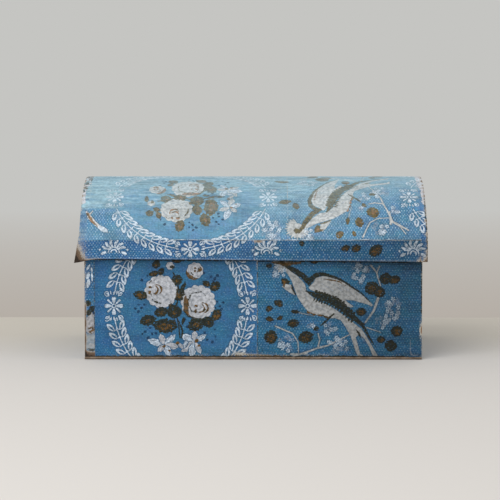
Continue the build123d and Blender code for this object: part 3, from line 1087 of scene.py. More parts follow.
def finish_mesh(name: str, vertices: Array, faces: Sequence[Array], smooth_angle: float = 35.0) -> bpy.types.Object:
    """Make an object of vertices in mm and of arrays of faces with the same number of corners.

    Args:
        name: name of the piece.
        vertices: n x 3 places in mm.
        faces: arrays of vertex numbers, one row a face.
        smooth_angle: edges sharper than this many degrees stay hard.

    Returns:
        The new object, linked to the scene.
    """
    mesh = bpy.data.meshes.new(name)
    loops = np.concatenate([np.asarray(f).ravel() for f in faces]).astype(np.int32)
    totals = np.concatenate([np.full(len(f), np.asarray(f).shape[1]) for f in faces]).astype(np.int32)
    starts = np.concatenate([[0], np.cumsum(totals)[:-1]]).astype(np.int32)
    mesh.vertices.add(len(vertices))
    mesh.vertices.foreach_set("co", (vertices * MM).astype(np.float32).ravel())
    mesh.loops.add(len(loops))
    mesh.loops.foreach_set("vertex_index", loops)
    mesh.polygons.add(len(totals))
    mesh.polygons.foreach_set("loop_start", starts)
    mesh.update(calc_edges=True)
    mesh.polygons.foreach_set("use_smooth", np.ones(len(totals), bool))
    mesh.set_sharp_from_angle(angle=math.radians(smooth_angle))
    mesh.update()
    return linked(name, mesh)


def linked(name: str, data: bpy.types.ID) -> bpy.types.Object:
    """Make an object of a mesh, lamp or camera and link it to the scene.

    Args:
        name: name of the object.
        data: its mesh, lamp or camera.

    Returns:
        The object.
    """
    thing = bpy.data.objects.new(name, data)
    bpy.context.scene.collection.objects.link(thing)
    return thing


def store(piece: bpy.types.Object, key: str, values: Array) -> None:
    """Store numbers or vectors on a piece's vertices.

    Args:
        piece: the object.
        key: name of the attribute.
        values: one number or one row of three for each vertex.
    """
    kind, field = ("FLOAT", "value") if values.ndim == 1 else ("FLOAT_VECTOR", "vector")
    attribute = piece.data.attributes.new(key, kind, "POINT")
    attribute.data.foreach_set(field, values.astype(np.float32).ravel())


def closed_grid(outer: Array, inner: Array, columns: Array, first: int = 0) -> tuple[Array, list[Array]]:
    """Close a thin sheet between a fine outer grid and an inner grid with fewer columns.

    Args:
        outer: rows x columns x 3 places, seen with the columns to the right and the rows upwards.
        inner: rows x chosen columns x 3 places of the underside.
        columns: the outer columns that the underside keeps, with the first and the last.
        first: number of the sheet's first vertex in its mesh.

    Returns:
        The vertices, and the arrays of faces.
    """
    rows, wide = outer.shape[:2]
    narrow = len(columns)
    top = first + np.arange(rows * wide).reshape(rows, wide)
    low = first + rows * wide + np.arange(rows * narrow).reshape(rows, narrow)
    quads = [
        np.stack([top[:-1, :-1], top[:-1, 1:], top[1:, 1:], top[1:, :-1]], -1).reshape(-1, 4),
        np.stack([low[:-1, :-1], low[1:, :-1], low[1:, 1:], low[:-1, 1:]], -1).reshape(-1, 4),
        np.stack([top[:-1, 0], top[1:, 0], low[1:, 0], low[:-1, 0]], -1),
        np.stack([top[:-1, -1], low[:-1, -1], low[1:, -1], top[1:, -1]], -1),
    ]
    ends = [
        np.concatenate([top[0, ::-1], low[0, :]])[None, :],
        np.concatenate([top[-1, :], low[-1, ::-1]])[None, :],
    ]
    vertices = np.concatenate([outer.reshape(-1, 3), inner.reshape(-1, 3)])
    return vertices, [np.concatenate(quads), *ends]


class PrintedSheet:
    """A piece of wallpaper: one or more thin closed grids that carry the print."""

    def __init__(self, name: str, thickness: float = 0.3) -> None:
        """Start an empty piece.

        Args:
            name: name of the piece.
            thickness: thickness of the paper in mm.
        """
        self.name = name
        self.thickness = thickness
        self.vertices: list[Array] = []
        self.faces: list[list[Array]] = []
        self.values: dict[str, list[Array]] = {key: [] for key in [*[ink.value for ink in Ink], "wear", "fade_and_painted_light"]}
        self.rolls: list[Array] = []
        self.count = 0

    def add(self, outer: Array, press: Press, wear: Array, fade_and_painted_light: Array, underside: int = 12) -> None:
        """Add one grid with its print.

        Args:
            outer: rows x columns x 3 places of the printed face in mm.
            press: the press that holds the grid's inks.
            wear: how far each point is rubbed, 0 to about 1.
            fade_and_painted_light: how far each point has faded, 0 to 1, with painted sheen on the dome; below 0, how
                far painted shade darkens it.
            underside: how many columns the underside has.
        """
        columns = np.unique(np.linspace(0, outer.shape[1] - 1, underside).round().astype(int))
        inner = (outer - self.thickness * grid_normals(outer))[:, columns]
        vertices, faces = closed_grid(outer, inner, columns, self.count)
        hidden = inner.shape[0] * inner.shape[1]
        layers = [(ink.value, press.layers[ink], UNPRINTED) for ink in Ink]
        for key, layer, under in (*layers, ("wear", wear, BARE_WEAR), ("fade_and_painted_light", fade_and_painted_light, 0.0)):
            self.values[key].append(np.concatenate([layer.ravel(), np.full(hidden, under)]))
        across, along = np.meshgrid(press.across, press.along)
        roll = np.stack([across, along, np.zeros_like(across)], -1)
        self.rolls.append(np.concatenate([roll.reshape(-1, 3), roll[:, columns].reshape(-1, 3)]))
        self.vertices.append(vertices)
        self.faces.append(faces)
        self.count += len(vertices)

    def build(self, paper: "BlockPrint", body: Body, stands_for: str) -> None:
        """Make the object with all its attributes, its material and its place in the part.

        Args:
            paper: the wallpaper.
            body: the body that it rides on.
            stands_for: the node that it replaces.
        """
        quads = np.concatenate([faces[0] for faces in self.faces])
        ends = [end for faces in self.faces for end in faces[1:]]
        material = paper.material()
        piece = finish_mesh(self.name, np.concatenate(self.vertices), [quads, *ends])
        for key, parts in self.values.items():
            store(piece, key, np.concatenate(parts))
        store(piece, "roll", np.concatenate(self.rolls))
        settle(piece, material, body, stands_for)


def settle(piece: bpy.types.Object, material: bpy.types.Material, body: Body, stands_for: str) -> None:
    """Give a piece its material, its body and the node that it stands for.

    Args:
        piece: the object.
        material: its only material.
        body: the body that it rides on.
        stands_for: the node that it replaces.
    """
    piece.data.materials.append(material)
    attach(piece, body.value)
    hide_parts(stands_for)
    log.info("%s: %d faces", piece.name, len(piece.data.polygons))


def rubbed(places: Array, at: float, reach: float, strength: float) -> Array:
    """Wear beside a line: strength times exp(-distance / reach)."""
    return strength * np.exp(-np.abs(places - at) / reach)


def blot(across: Array, along: Array, at: Point, reach: Point, strength: float) -> Array:
    """Wear a round patch: strength times a bell curve of the distance over its reach."""
    return strength * bell(((across - at[0]) / reach[0])[None, :], ((along - at[1]) / reach[1])[:, None])


def uneven(places: Array, wavelength: float, seed: int, swing: float = 0.4) -> Array:
    """Give a share that wavers along a line about 0.8, by swing times a ripple."""
    return 0.8 + swing * ripple(places, np.zeros_like(places), wavelength, seed)


@dataclass(frozen=True)
class Settling:
    """How the old lid has moved: a crushed corner at its left front, and a lifted lower edge."""

    corner: Place
    crease: float
    outward: float = 6.2
    forward: float = 2.0
    down: float = 5.0
    spread: float = 14.0
    fade_height: float = 37.0
    lift_left: float = 4.4
    lift_right: float = 0.5
    lift_depth: float = 40.0
    length: float = 442.8

    def lift(self, x: Array) -> Array:
        """Say how far the lower edge has risen: it falls along the front as a power of the distance left."""
        share = np.clip((x - self.corner[0]) / self.length, 0, 1)
        return self.lift_right + (self.lift_left - self.lift_right) * (1 - share) ** 0.85

    def shift(self, points: Array) -> Array:
        """Move points of the lid.

        The corner's share is a bell curve of the distance along the front and along the end,
        times the depth below the lower dome. The edge's lift is taken times the depth below the
        crease, and dies out backwards.

        Args:
            points: places in mm, with x, y and z last.

        Returns:
            The moved places.
        """
        x, y, z = points[..., 0], points[..., 1], points[..., 2]
        low = np.clip((self.corner[2] + self.fade_height - z) / self.fade_height, 0, 1) ** 1.1
        share = low * bell((x - self.corner[0]) / self.spread, (y - self.corner[1]) / self.spread)
        depth = np.clip((self.crease - z) / (self.crease - self.corner[2]), 0, 1)
        front = depth * bell((y - self.corner[1]) / self.lift_depth)
        moved = points.copy()
        moved[..., 0] -= self.outward * share
        moved[..., 1] -= self.forward * share
        moved[..., 2] += front * self.lift(x) - self.down * share
        return moved


# Finishes


def node(
    tree: Tree, kind: str, inputs: dict[str | int, object] | None = None, out: str | int = 0, **settings: object
) -> Socket | None:
    """Add a node with its settings, values and links.

    Args:
        tree: the material's node tree.
        kind: the node's type, without the shader prefix.
        inputs: by name or number, a value or the output socket that feeds it.
        out: which of its outputs is given back.
        settings: the node's own properties.

    Returns:
        The output, or None where the node has none.
    """
    made = tree.nodes.new("ShaderNode" + kind)
    for key, value in settings.items():
        setattr(made, key, value)
    for key, value in (inputs or {}).items():
        if isinstance(value, Socket):
            tree.links.new(value, made.inputs[key])
        else:
            made.inputs[key].default_value = value
    return made.outputs[out] if made.outputs else None


def laid(
    tree: Tree, under: Colour | Socket, over: Colour | Socket, value: Socket, rise: Sequence[float],
    eased: bool = False, **blend: object
) -> Socket:
    """Lay one colour over another where a value rises.

    Args:
        tree: the material's node tree.
        under: the lower colour, or the socket that gives it.
        over: the upper colour, or the socket that gives it.
        value: what the cover follows.
        rise: the value where the cover starts, where it is full, and its full share if that isn't 1.
        eased: starts and ends it softly.
        blend: how the two colours are mixed.

    Returns:
        The mixed colour.
    """
    low, high, top = (*rise, 1.0)[:3]
    ease = "SMOOTHSTEP" if eased else "LINEAR"
    share = node(
        tree, "MapRange", {"Value": value, "From Min": low, "From Max": high, "To Max": top}, interpolation_type=ease
    )
    return node(tree, "Mix", {0: share, 6: under, 7: over}, 2, data_type="RGBA", **blend)


def mottle(tree: Tree, roll: Socket, size: Point, detail: float = 2.0, seed: float = 0.0) -> Socket:
    """Mottle a sheet with soft patches.

    Args:
        tree: the material's node tree.
        roll: the sheet's own coordinates in mm.
        size: about how wide and how high the patches are, in mm.
        detail: how many finer layers they have.
        seed: which part of the endless pattern is taken.

    Returns:
        The pattern, about 0.5.
    """
    place = {"Vector": roll, "Location": (seed, seed * 1.7, seed), "Scale": (1 / size[0], 1 / size[1], 1.0)}
    moved = node(tree, "Mapping", place)
    return node(tree, "TexNoise", {"Vector": moved, "Scale": 1.0, "Detail": detail}, "Fac")


def start_material(name: str) -> tuple[bpy.types.Material, Tree]:
    """Make an empty node material.

    Args:
        name: name of the real material.

    Returns:
        The material and its node tree.
    """
    material = bpy.data.materials.new(name)
    material.use_nodes = True
    material.node_tree.nodes.clear()
    return material, material.node_tree


def close_material(
    tree: Tree, colour: Socket, height: Socket, relief_mm: float, roughness: float, gloss: float = 0.25,
    sheen: float = 0.0,
) -> None:
    """End a material with the shader for a rough, non-metallic surface and its relief.

    Args:
        tree: the material's node tree.
        colour: the base colour.
        height: the relief, 0 to 1.
        relief_mm: real height of a relief of 1, in mm.
        roughness: the roughness.
        gloss: the specular level, low for chalky paint and bare fibres.
        sheen: weight of the soft fuzz that fibres give.
    """
    bump = node(tree, "Bump", {"Strength": 1.0, "Distance": relief_mm * MM, "Height": height})
    surface = {"Base Color": colour, "Roughness": roughness, "Specular IOR Level": gloss, "Normal": bump}
    shader = node(tree, "BsdfPrincipled", {**surface, "Sheen Weight": sheen})
    node(tree, "OutputMaterial", {"Surface": shader})


@dataclass(frozen=True)
class BlockPrint:
    """Distemper colours printed by hand from blocks on a brushed blue ground, on rag paper.

    The inks lie thick and chalky, so their edges wobble, the ground shows through them in
    places and they stand a little proud. The ground was brushed on, which leaves streaks.
    """

    name: str
    ground: str = "366C9C"
    inside: str = "346C9B"
    faded: str = "9BC2CF"
    smear: str = "7795A3"
    scuff: str = "BFD3D8"
    dots: str = "A3C6DA"
    chalk: str = "CDDAE6"
    cream: str = "CBC9CE"
    shade: str = "8B95A6"
    navy: str = "12304E"
    olive: str = "262714"
    brown: str = "63461F"
    moss: str = "463F18"
    core: str = "C0BAAE"
    board: str = "9C7C62"
    board_dark: str = "4A3626"
    soiled: str = "5A483A"
    black: str = "2B221B"
    stain: str = "7C8684"
    dot_pitch: float = 3.6
    dot_size: float = 0.62
    dot_strength: float = 0.75
    dot_stretch: float = 1.0
    streak_share: float = 0.22
    streak_upright: bool = False
    grime: float = 0.35
    veil: float = 0.42
    grit: float = 2.4
    halo: float = 0.34

    def material(self) -> bpy.types.Material:
        """Build the paper's material on the sheets' own coordinates.

        Returns:
            The material.
        """
        material, tree = start_material(self.name)
        roll = node(tree, "Attribute", out="Vector", attribute_name="roll")
        fade_and_painted_light = self.uneven_fade_and_sheen(tree, roll)
        masks = self.ink_masks(tree, roll)
        colour = self.ground_colour(tree, roll, masks[FIELD])
        # The pale smeared ground comes in where the sheet has faded, and on the dome also as painted sheen.
        colour = node(tree, "Mix", {0: fade_and_painted_light, 6: colour, 7: self.smeared(tree, roll)}, 2, data_type="RGBA")
        tones = (self.cream, self.chalk, self.shade, self.navy, self.olive, self.brown)
        for ink, tone in zip((CREAM, CHALK, SHADE, NAVY, OLIVE, BROWN), tones):
            over = self.varied(tree, roll, tone, ink)
            colour = node(tree, "Mix", {0: masks[ink], 6: colour, 7: over}, 2, data_type="RGBA")
        # Where the sheet has faded, and where painted sheen lies on the dome, a veil of the pale faded colour goes over
        # the inks too.
        veil_share = node(tree, "Math", {0: fade_and_painted_light, 1: self.veil}, operation="MULTIPLY")
        colour = node(tree, "Mix", {0: veil_share, 6: colour, 7: linear(self.faded)}, 2, data_type="RGBA")
        # Below 0 the attribute holds painted shade, which darkens the colour.
        read = node(tree, "Attribute", out="Fac", attribute_name="fade_and_painted_light")
        painted_shade = node(tree, "Math", {0: read, 1: 0.0}, operation="MINIMUM")
        colour = node(tree, "VectorMath", {0: colour, 3: node(tree, "Math", {0: painted_shade, 1: 1.0})}, operation="SCALE")
        colour = self.aged(tree, roll, colour)
        close_material(tree, colour, self.relief(tree, roll, masks), 0.12, 0.66, 0.22)
        return material

    def uneven_fade_and_sheen(self, tree: Tree, roll: Socket) -> Socket:
        """Read how far the sheet has faded, with the painted sheen on the dome, and let it vary in smears along the
        length.

        Args:
            tree: the material's node tree.
            roll: the sheet's own coordinates.

        Returns:
            The share that has faded, with painted sheen on the dome.
        """
        fade_and_painted_light = node(tree, "Attribute", out="Fac", attribute_name="fade_and_painted_light")
        smears = mottle(tree, roll, (34, 6), 6, 71)
        varying = node(tree, "Math", {0: smears, 1: 2.4, 2: -0.2}, operation="MULTIPLY_ADD")
        return node(tree, "Math", {0: fade_and_painted_light, 1: varying}, operation="MULTIPLY", use_clamp=True)

    def smeared(self, tree: Tree, roll: Socket) -> Socket:
        """Colour the faded ground: pale cyan with long greyer smears where hands have dragged over it.

        Args:
            tree: the material's node tree.
            roll: the sheet's own coordinates.

        Returns:
            The colour.
        """
        long = mottle(tree, roll, (40, 2.6), 5, 303)
        colour = laid(tree, linear(self.faded), linear(self.smear), long, (0.46, 0.62))
        light = mottle(tree, roll, (13, 1.6), 5, 333)
        colour = laid(tree, colour, linear(self.scuff), light, (0.54, 0.68, 0.75))
        grain = mottle(tree, roll, (5, 4.5), 5, 353)
        spans = {"From Min": 0.32, "From Max": 0.68, "To Min": 0.62, "To Max": 1.34}
        tone = node(tree, "MapRange", {"Value": grain, **spans})
        return node(tree, "VectorMath", {0: colour, 3: tone}, operation="SCALE")

    def ink_masks(self, tree: Tree, roll: Socket) -> dict[Ink, Socket]:
        """Turn each ink's depth into its coverage, with a hand-printed edge and worn spots.

        Args:
            tree: the material's node tree.
            roll: the sheet's own coordinates.

        Returns:
            The coverage of each ink.
        """
        rough = mottle(tree, roll, (1.5, 1.5), 3)
        wobble = node(tree, "Math", {0: rough, 1: 1.3, 2: -0.65}, operation="MULTIPLY_ADD")
        thin = mottle(tree, roll, (2.6, 1.5), 4, 40)
        lumps = mottle(tree, roll, (4.2, 4.2), 4, 55)
        lumps = node(tree, "Math", {0: lumps, 1: 3.2, 2: -1.6}, operation="MULTIPLY_ADD")
        jagged = node(tree, "Math", {0: lumps, 1: wobble}, operation="ADD")
        masks: dict[Ink, Socket] = {}
        for ink in Ink:
            depth = node(tree, "Attribute", out="Fac", attribute_name=ink.value)
            edge = jagged if ink in (OLIVE, BROWN) else wobble
            ragged = node(tree, "Math", {0: depth, 1: edge}, operation="ADD")
            steps = {"Value": ragged, "From Min": -0.28, "From Max": 0.28}
            masks[ink] = node(tree, "MapRange", steps, interpolation_type="SMOOTHSTEP")
            if ink in COVER:
                low, high, top = COVER[ink]
                steps = {"Value": thin, "From Min": low, "From Max": high, "To Max": top}
                spots = node(tree, "MapRange", steps, interpolation_type="SMOOTHSTEP")
                masks[ink] = node(tree, "Math", {0: masks[ink], 1: spots}, operation="MULTIPLY")
        return masks

    def varied(self, tree: Tree, roll: Socket, tone: str, ink: Ink) -> Socket:
        """Vary an ink's tone over a few mm and in finer grains. The brown turns to moss in places.

        Args:
            tree: the material's node tree.
            roll: the sheet's own coordinates.
            tone: the ink's hex colour.
            ink: the ink.

        Returns:
            The varied colour.
        """
        grains = mottle(tree, roll, (3.8, 3.8), 5, 11.0 * (1 + list(Ink).index(ink)))
        dark, light = (0.66, 1.17) if ink in (CREAM, CHALK) else (0.50, 1.38)
        first = scaled(self.moss if ink is BROWN else tone, dark)
        return laid(tree, first, scaled(tone, light), grains, (0.32, 0.66), True)

    def ground_colour(self, tree: Tree, roll: Socket, field_mask: Socket) -> Socket:
        """Lay the brushed ground and the pale dots outside its medallions.

        Args:
            tree: the material's node tree.
            roll: the sheet's own coordinates.
            field_mask: coverage of the medallions' fields.

        Returns:
            The colour.
        """
        tones = {0: field_mask, 6: linear(self.ground), 7: linear(self.inside)}
        colour = node(tree, "Mix", tones, 2, data_type="RGBA")
        streaks = mottle(tree, roll, (1.3, 60) if self.streak_upright else (60, 1.3), 3, 5)
        cloud = mottle(tree, roll, (26, 18), 6, 17)
        grit = mottle(tree, roll, (2.6, 2.2), 3, 27)
        both = node(tree, "Math", {0: streaks, 1: cloud}, operation="ADD")
        both = node(tree, "Math", {0: grit, 1: self.grit, 2: both}, operation="MULTIPLY_ADD")
        reach, middle = self.streak_share * 1.3, 1.0 + self.grit / 2
        spans = {"From Min": middle - 0.55, "From Max": middle + 0.55, "To Min": 1 - reach, "To Max": 1 + reach}
        tone = node(tree, "MapRange", {"Value": both, **spans})
        tone = node(tree, "Math", {0: tone, 1: self.darker_rim(tree)}, operation="MULTIPLY")
        colour = node(tree, "VectorMath", {0: colour, 3: tone}, operation="SCALE")
        specks = mottle(tree, roll, (2, 1.5), 2, 83)
        colour = laid(tree, colour, linear(self.faded), specks, (0.58, 0.72, 0.34))
        patches = mottle(tree, roll, (17, 13), 5, 61)
        hue = laid(tree, (1.06, 0.95, 1.02, 1.0), (0.90, 1.06, 0.97, 1.0), patches, (0.36, 0.64))
        colour = node(tree, "Mix", {0: 1.0, 6: colour, 7: hue}, 2, data_type="RGBA", blend_type="MULTIPLY")
        clear = node(tree, "Math", {0: 1.0, 1: field_mask}, operation="SUBTRACT")
        dots = node(tree, "Math", {0: self.dotted(tree, roll), 1: clear}, operation="MULTIPLY")
        return node(tree, "Mix", {0: dots, 6: colour, 7: linear(self.dots)}, 2, data_type="RGBA")

    def darker_rim(self, tree: Tree) -> Socket:
        """Darken the ground in a rim of 1.5 mm round the pale motifs.

        Args:
            tree: the material's node tree.

        Returns:
            What the ground's colour is multiplied by.
        """
        depths = [node(tree, "Attribute", out="Fac", attribute_name=ink.value) for ink in (CREAM, CHALK)]
        nearest = node(tree, "Math", {0: depths[0], 1: depths[1]}, operation="MAXIMUM")
        spans = {"From Min": -1.9, "From Max": -0.4, "To Min": 1.0, "To Max": 1 - self.halo}
        return node(tree, "MapRange", {"Value": nearest, **spans})

    def dotted(self, tree: Tree, roll: Socket) -> Socket:
        """Place dots on a triangular lattice: the nearer of two rectangular lattices' points.

        A fine mottle shifts them a little and leaves many of them weak, as the old block did.

        Args:
            tree: the material's node tree.
            roll: the sheet's own coordinates.

        Returns:
            The dots' coverage.
        """
        half = (self.dot_pitch / 2, self.dot_pitch * math.sqrt(3) / 2, 1.0)
        unsteady = node(tree, "TexNoise", {"Vector": roll, "Scale": 0.35, "Detail": 1.0}, "Color")
        shifted = node(tree, "VectorMath", {0: unsteady, 1: (1.7, 1.7, 0.0), 2: roll}, operation="MULTIPLY_ADD")
        lattices = []
        for shift in ((0.0, 0.0, 0.0), (half[0], half[1], 0.0)):
            moved = node(tree, "VectorMath", {0: shifted, 1: shift}, operation="ADD")
            cell = node(tree, "VectorMath", {0: moved, 1: half, 2: tuple(-h for h in half)}, operation="WRAP")
            cell = node(tree, "VectorMath", {0: cell, 1: (1.0, 1 / self.dot_stretch, 0.0)}, operation="MULTIPLY")
            lattices.append(node(tree, "VectorMath", {0: cell}, "Value", operation="LENGTH"))
        nearest = node(tree, "Math", {0: lattices[0], 1: lattices[1]}, operation="MINIMUM")
        spans = {"From Min": self.dot_size + 0.35, "From Max": self.dot_size - 0.25, "To Max": self.dot_strength}
        inked = node(tree, "MapRange", {"Value": nearest, **spans}, interpolation_type="SMOOTHSTEP")
        patchy = mottle(tree, roll, (3.4, 3.4), 6, 90)
        patchy = node(tree, "MapRange", {"Value": patchy, "From Min": 0.38, "From Max": 0.66})
        return node(tree, "Math", {0: inked, 1: patchy}, operation="MULTIPLY")

    def aged(self, tree: Tree, roll: Socket, colour: Socket) -> Socket:
        """Rub the print off where it is worn: down to the core, then to the board, and then soiled and black; at the
        crushed corner's lower edge these dark tones also paint the shadow under the lid.

        Args:
            tree: the material's node tree.
            roll: the sheet's own coordinates.
            colour: the print's colour.

        Returns:
            The worn colour.
        """
        grime = mottle(tree, roll, (34, 22), 7, 130)
        colour = laid(tree, colour, linear(self.stain), grime, (0.46, 0.74, self.grime), blend_type="MULTIPLY")
        wear = node(tree, "Attribute", out="Fac", attribute_name="wear")
        grain = mottle(tree, roll, (1.6, 1.6), 6, 150)
        rubbed_by = node(tree, "Math", {0: grain, 1: 0.9, 2: -0.45}, operation="MULTIPLY_ADD")
        level = node(tree, "Math", {0: wear, 1: rubbed_by}, operation="ADD")
        core = laid(tree, scaled(self.core, 0.55), linear(self.core), grain, (0.35, 0.62))
        fine = mottle(tree, roll, (0.9, 0.9), 5, 170)
        board = laid(tree, linear(self.board_dark), linear(self.board), fine, (0.3, 0.6))
        for tone, rise in (
            (core, (0.14, 0.40, 0.35)), (core, (0.40, 0.56)), (board, (0.68, 0.82)),
            (linear(self.soiled), (1.02, 1.16, 0.9)), (linear(self.black), (1.27, 1.42, 0.95)),
        ):
            colour = laid(tree, colour, tone, level, rise, True)
        return colour

    def relief(self, tree: Tree, roll: Socket, masks: dict[Ink, Socket]) -> Socket:
        """Raise the inks over the ground and add the paper's fibres and cockles.

        Args:
            tree: the material's node tree.
            roll: the sheet's own coordinates.
            masks: coverage of each ink.

        Returns:
            The height.
        """
        fibre = mottle(tree, roll, (0.45, 0.45), 3, 200)
        cockle = mottle(tree, roll, (9, 5), 2, 210)
        height = node(tree, "Math", {0: cockle, 1: 1.2, 2: fibre}, operation="MULTIPLY_ADD")
        for ink in (CREAM, CHALK, OLIVE):
            height = node(tree, "Math", {0: masks[ink], 1: 0.5, 2: height}, operation="MULTIPLY_ADD")
        return height


@dataclass(frozen=True)
class Pasteboard:
    """Grey-brown board pasted up from waste rags and rope, pressed and cut with a knife.

    Its faces are mottled with fibres, its cut edges show thin layers, and its foot is dark as painted contact shadow.
    """

    light: str = "9A8876"
    dark: str = "5A4A3B"
    fleck_and_shade_tone: str = "352820"
    shade_full_below: float = 0.7
    shade_starts_below: float = 1.7

    def material(self) -> bpy.types.Material:
        """Build the board's material on Object coordinates.

        Returns:
            The material.
        """
        material, tree = start_material("pasteboard")
        place = node(tree, "TexCoord", out="Object")
        cloud = node(tree, "TexNoise", {"Vector": place, "Scale": 90.0, "Detail": 6.0, "Roughness": 0.65}, "Fac")
        layered = node(tree, "Mapping", {"Vector": place, "Scale": (150.0, 150.0, 1600.0)})
        layers = node(tree, "TexNoise", {"Vector": layered, "Scale": 1.0, "Detail": 3.0}, "Fac")
        fibres = node(tree, "TexNoise", {"Vector": place, "Scale": 1500.0, "Detail": 3.0}, "Fac")
        both = node(tree, "Math", {0: cloud, 1: layers}, operation="ADD")
        colour = laid(tree, linear(self.dark), linear(self.light), both, (0.75, 1.25))
        flecks = node(tree, "MapRange", {"Value": fibres, "From Min": 0.62, "From Max": 0.72, "To Max": 0.6})
        # Painted contact shadow: the board turns dark within about 1.7 mm of the floor; the dark tone also serves its
        # real flecks.
        spans = {"From Min": self.shade_starts_below * MM, "From Max": self.shade_full_below * MM, "To Max": 0.9}
        foot = node(tree, "MapRange", {"Value": node(tree, "SeparateXYZ", {0: place}, 2), **spans})
        fleck_and_shade_share = node(tree, "Math", {0: flecks, 1: foot}, operation="MAXIMUM")
        colour = node(tree, "Mix", {0: fleck_and_shade_share, 6: colour, 7: linear(self.fleck_and_shade_tone)}, 2, data_type="RGBA")
        height = node(tree, "Math", {0: fibres, 1: layers}, operation="ADD")
        close_material(tree, colour, height, 0.2, 0.82, 0.2, 0.05)
        return material


@dataclass(frozen=True)
class LaidPaper:
    """Handmade rag paper: close laid lines, chain lines wider apart, and brown foxing."""

    name: str
    tone: str = "CFC4AA"
    shade: str = "B3A587"
    foxing: str = "8A6A3F"
    laid_mm: float = 1.1
    chain_mm: float = 26.0

    def material(self) -> bpy.types.Material:
        """Build the paper's material on Object coordinates.

        Returns:
            The material.
        """
        material, tree = start_material(self.name)
        place = node(tree, "TexCoord", out="Object")
        tilted = node(tree, "Mapping", {"Vector": place, "Rotation": (0.6, 0.0, 0.0)})
        laid_scale, chain_scale = (FULL_WAVE / (pitch * MM) for pitch in (self.laid_mm, self.chain_mm))
        lines = {"Vector": tilted, "Scale": laid_scale, "Distortion": 0.4}
        close = node(tree, "TexWave", lines, "Fac", bands_direction="Z")
        lines = {"Vector": place, "Scale": chain_scale, "Distortion": 0.3}
        chain = node(tree, "TexWave", lines, "Fac", bands_direction="X")
        chains = node(tree, "MapRange", {"Value": chain, "From Min": 0.93, "From Max": 1.0})
        cloud = node(tree, "TexNoise", {"Vector": place, "Scale": 26.0, "Detail": 7.0, "Roughness": 0.6}, "Fac")
        specks = node(tree, "TexNoise", {"Vector": place, "Scale": 210.0, "Detail": 2.0}, "Fac")
        colour = laid(tree, linear(self.tone), linear(self.shade), cloud, (0.35, 0.7))
        lined = node(tree, "Math", {0: close, 1: 0.16}, operation="MULTIPLY")
        colour = node(tree, "Mix", {0: lined, 6: colour, 7: linear(self.shade)}, 2, data_type="RGBA")
        colour = laid(tree, colour, linear(self.foxing), specks, (0.66, 0.74, 0.7))
        height = node(tree, "Math", {0: chains, 1: 0.5, 2: close}, operation="MULTIPLY_ADD")
        close_material(tree, colour, height, 0.03, 0.75)
        return material


@dataclass(frozen=True)
class PlainLinen:
    """Unbleached linen in plain weave, glued flat. Threads of 0.7 mm, drawn as wide as that.

    Warp and weft pass over and under each other, which gives a small checkered relief.
    """

    tone: str = "9A8B6E"
    hollow: str = "5F5340"
    thread_mm: float = 0.7

    def material(self) -> bpy.types.Material:
        """Build the cloth's material on the piece's own flat coordinates.

        Returns:
            The material.
        """
        material, tree = start_material("linen_tape")
        weave = node(tree, "Attribute", out="Vector", attribute_name="roll")
        lines = {"Vector": weave, "Scale": FULL_WAVE / self.thread_mm, "Distortion": 0.3}
        warp, weft = (node(tree, "TexWave", lines, "Fac", bands_direction=way) for way in "XY")
        high = node(tree, "Math", {0: warp, 1: weft}, operation="MAXIMUM")
        slub = node(tree, "TexNoise", {"Vector": weave, "Scale": 0.3, "Detail": 4.0}, "Fac")
        share = node(tree, "Math", {0: high, 1: slub}, operation="MULTIPLY")
        colour = node(tree, "Mix", {0: share, 6: linear(self.hollow), 7: linear(self.tone)}, 2, data_type="RGBA")
        close_material(tree, colour, high, 0.12, 0.85, 0.2, 0.2)
        return material


# Sub-assemblies

FRONT_LEFT_PRINT = BlockPrint(
    "wallpaper_front_left", ground="2C6595", inside="326790", cream="B9BCC2", chalk="C6D4E2", shade="75808F",
    dot_strength=0.24,
)
# The right sheet's darker ground and whites are partly its own paper and partly painted shade, away from the lamp.
FRONT_RIGHT_PRINT = BlockPrint(
    "wallpaper_front_right", ground="286086", inside="286086", dots="8FB2C4", cream="A2A4A4", chalk="B4C4D2",
    shade="8892A0", streak_share=0.33, olive="232312", brown="5A3F1B",
)
SIDE_PRINT = BlockPrint(
    "wallpaper_ends", ground="2C6490", inside="2C6490", faded="959EA4", smear="7F8B95", scuff="B9BCBA", cream="A3A3A7",
    chalk="C4D2DF", core="A8A29B", board="84705E",
)
LID_END_PRINT = BlockPrint(
    "wallpaper_lid_ends", ground="2B6091", inside="2E6598", faded="97BAC7", dots="A9C9DC", streak_upright=True,
    streak_share=0.26, dot_strength=0.8, core="B4ADA4", board="7A6754", veil=0.2,
)
RIM_PRINT = BlockPrint(
    "wallpaper_lid_rim", ground="2B6091", inside="2E6598", dots="A9C9DC", streak_upright=True, streak_share=0.26,
    dot_strength=0.9, dot_size=0.68, dot_stretch=1.3, core="ABA299", board="7A6754",
)
RIM_RIGHT_PRINT = replace(RIM_PRINT, name="wallpaper_lid_rim_right", ground="23628F", inside="23628F")
# The dome's paler ground and inks, and its faded and scuff tones, are partly its own faded paper and partly painted
# light: the top lit from above, and sheen.
DOME_PRINT = BlockPrint(
    "wallpaper_lid_dome", ground="4B7DA2", inside="4F84AA", faded="97BAC7", dots="B4D2E2", streak_upright=True,
    streak_share=0.26, dot_strength=0.9, dot_stretch=1.9, olive="64562E", brown="8C6A4E", moss="7A6E4E", smear="6B8A9A",
    scuff="CFE0E2", veil=0.5, cream="C3C5C4",
)


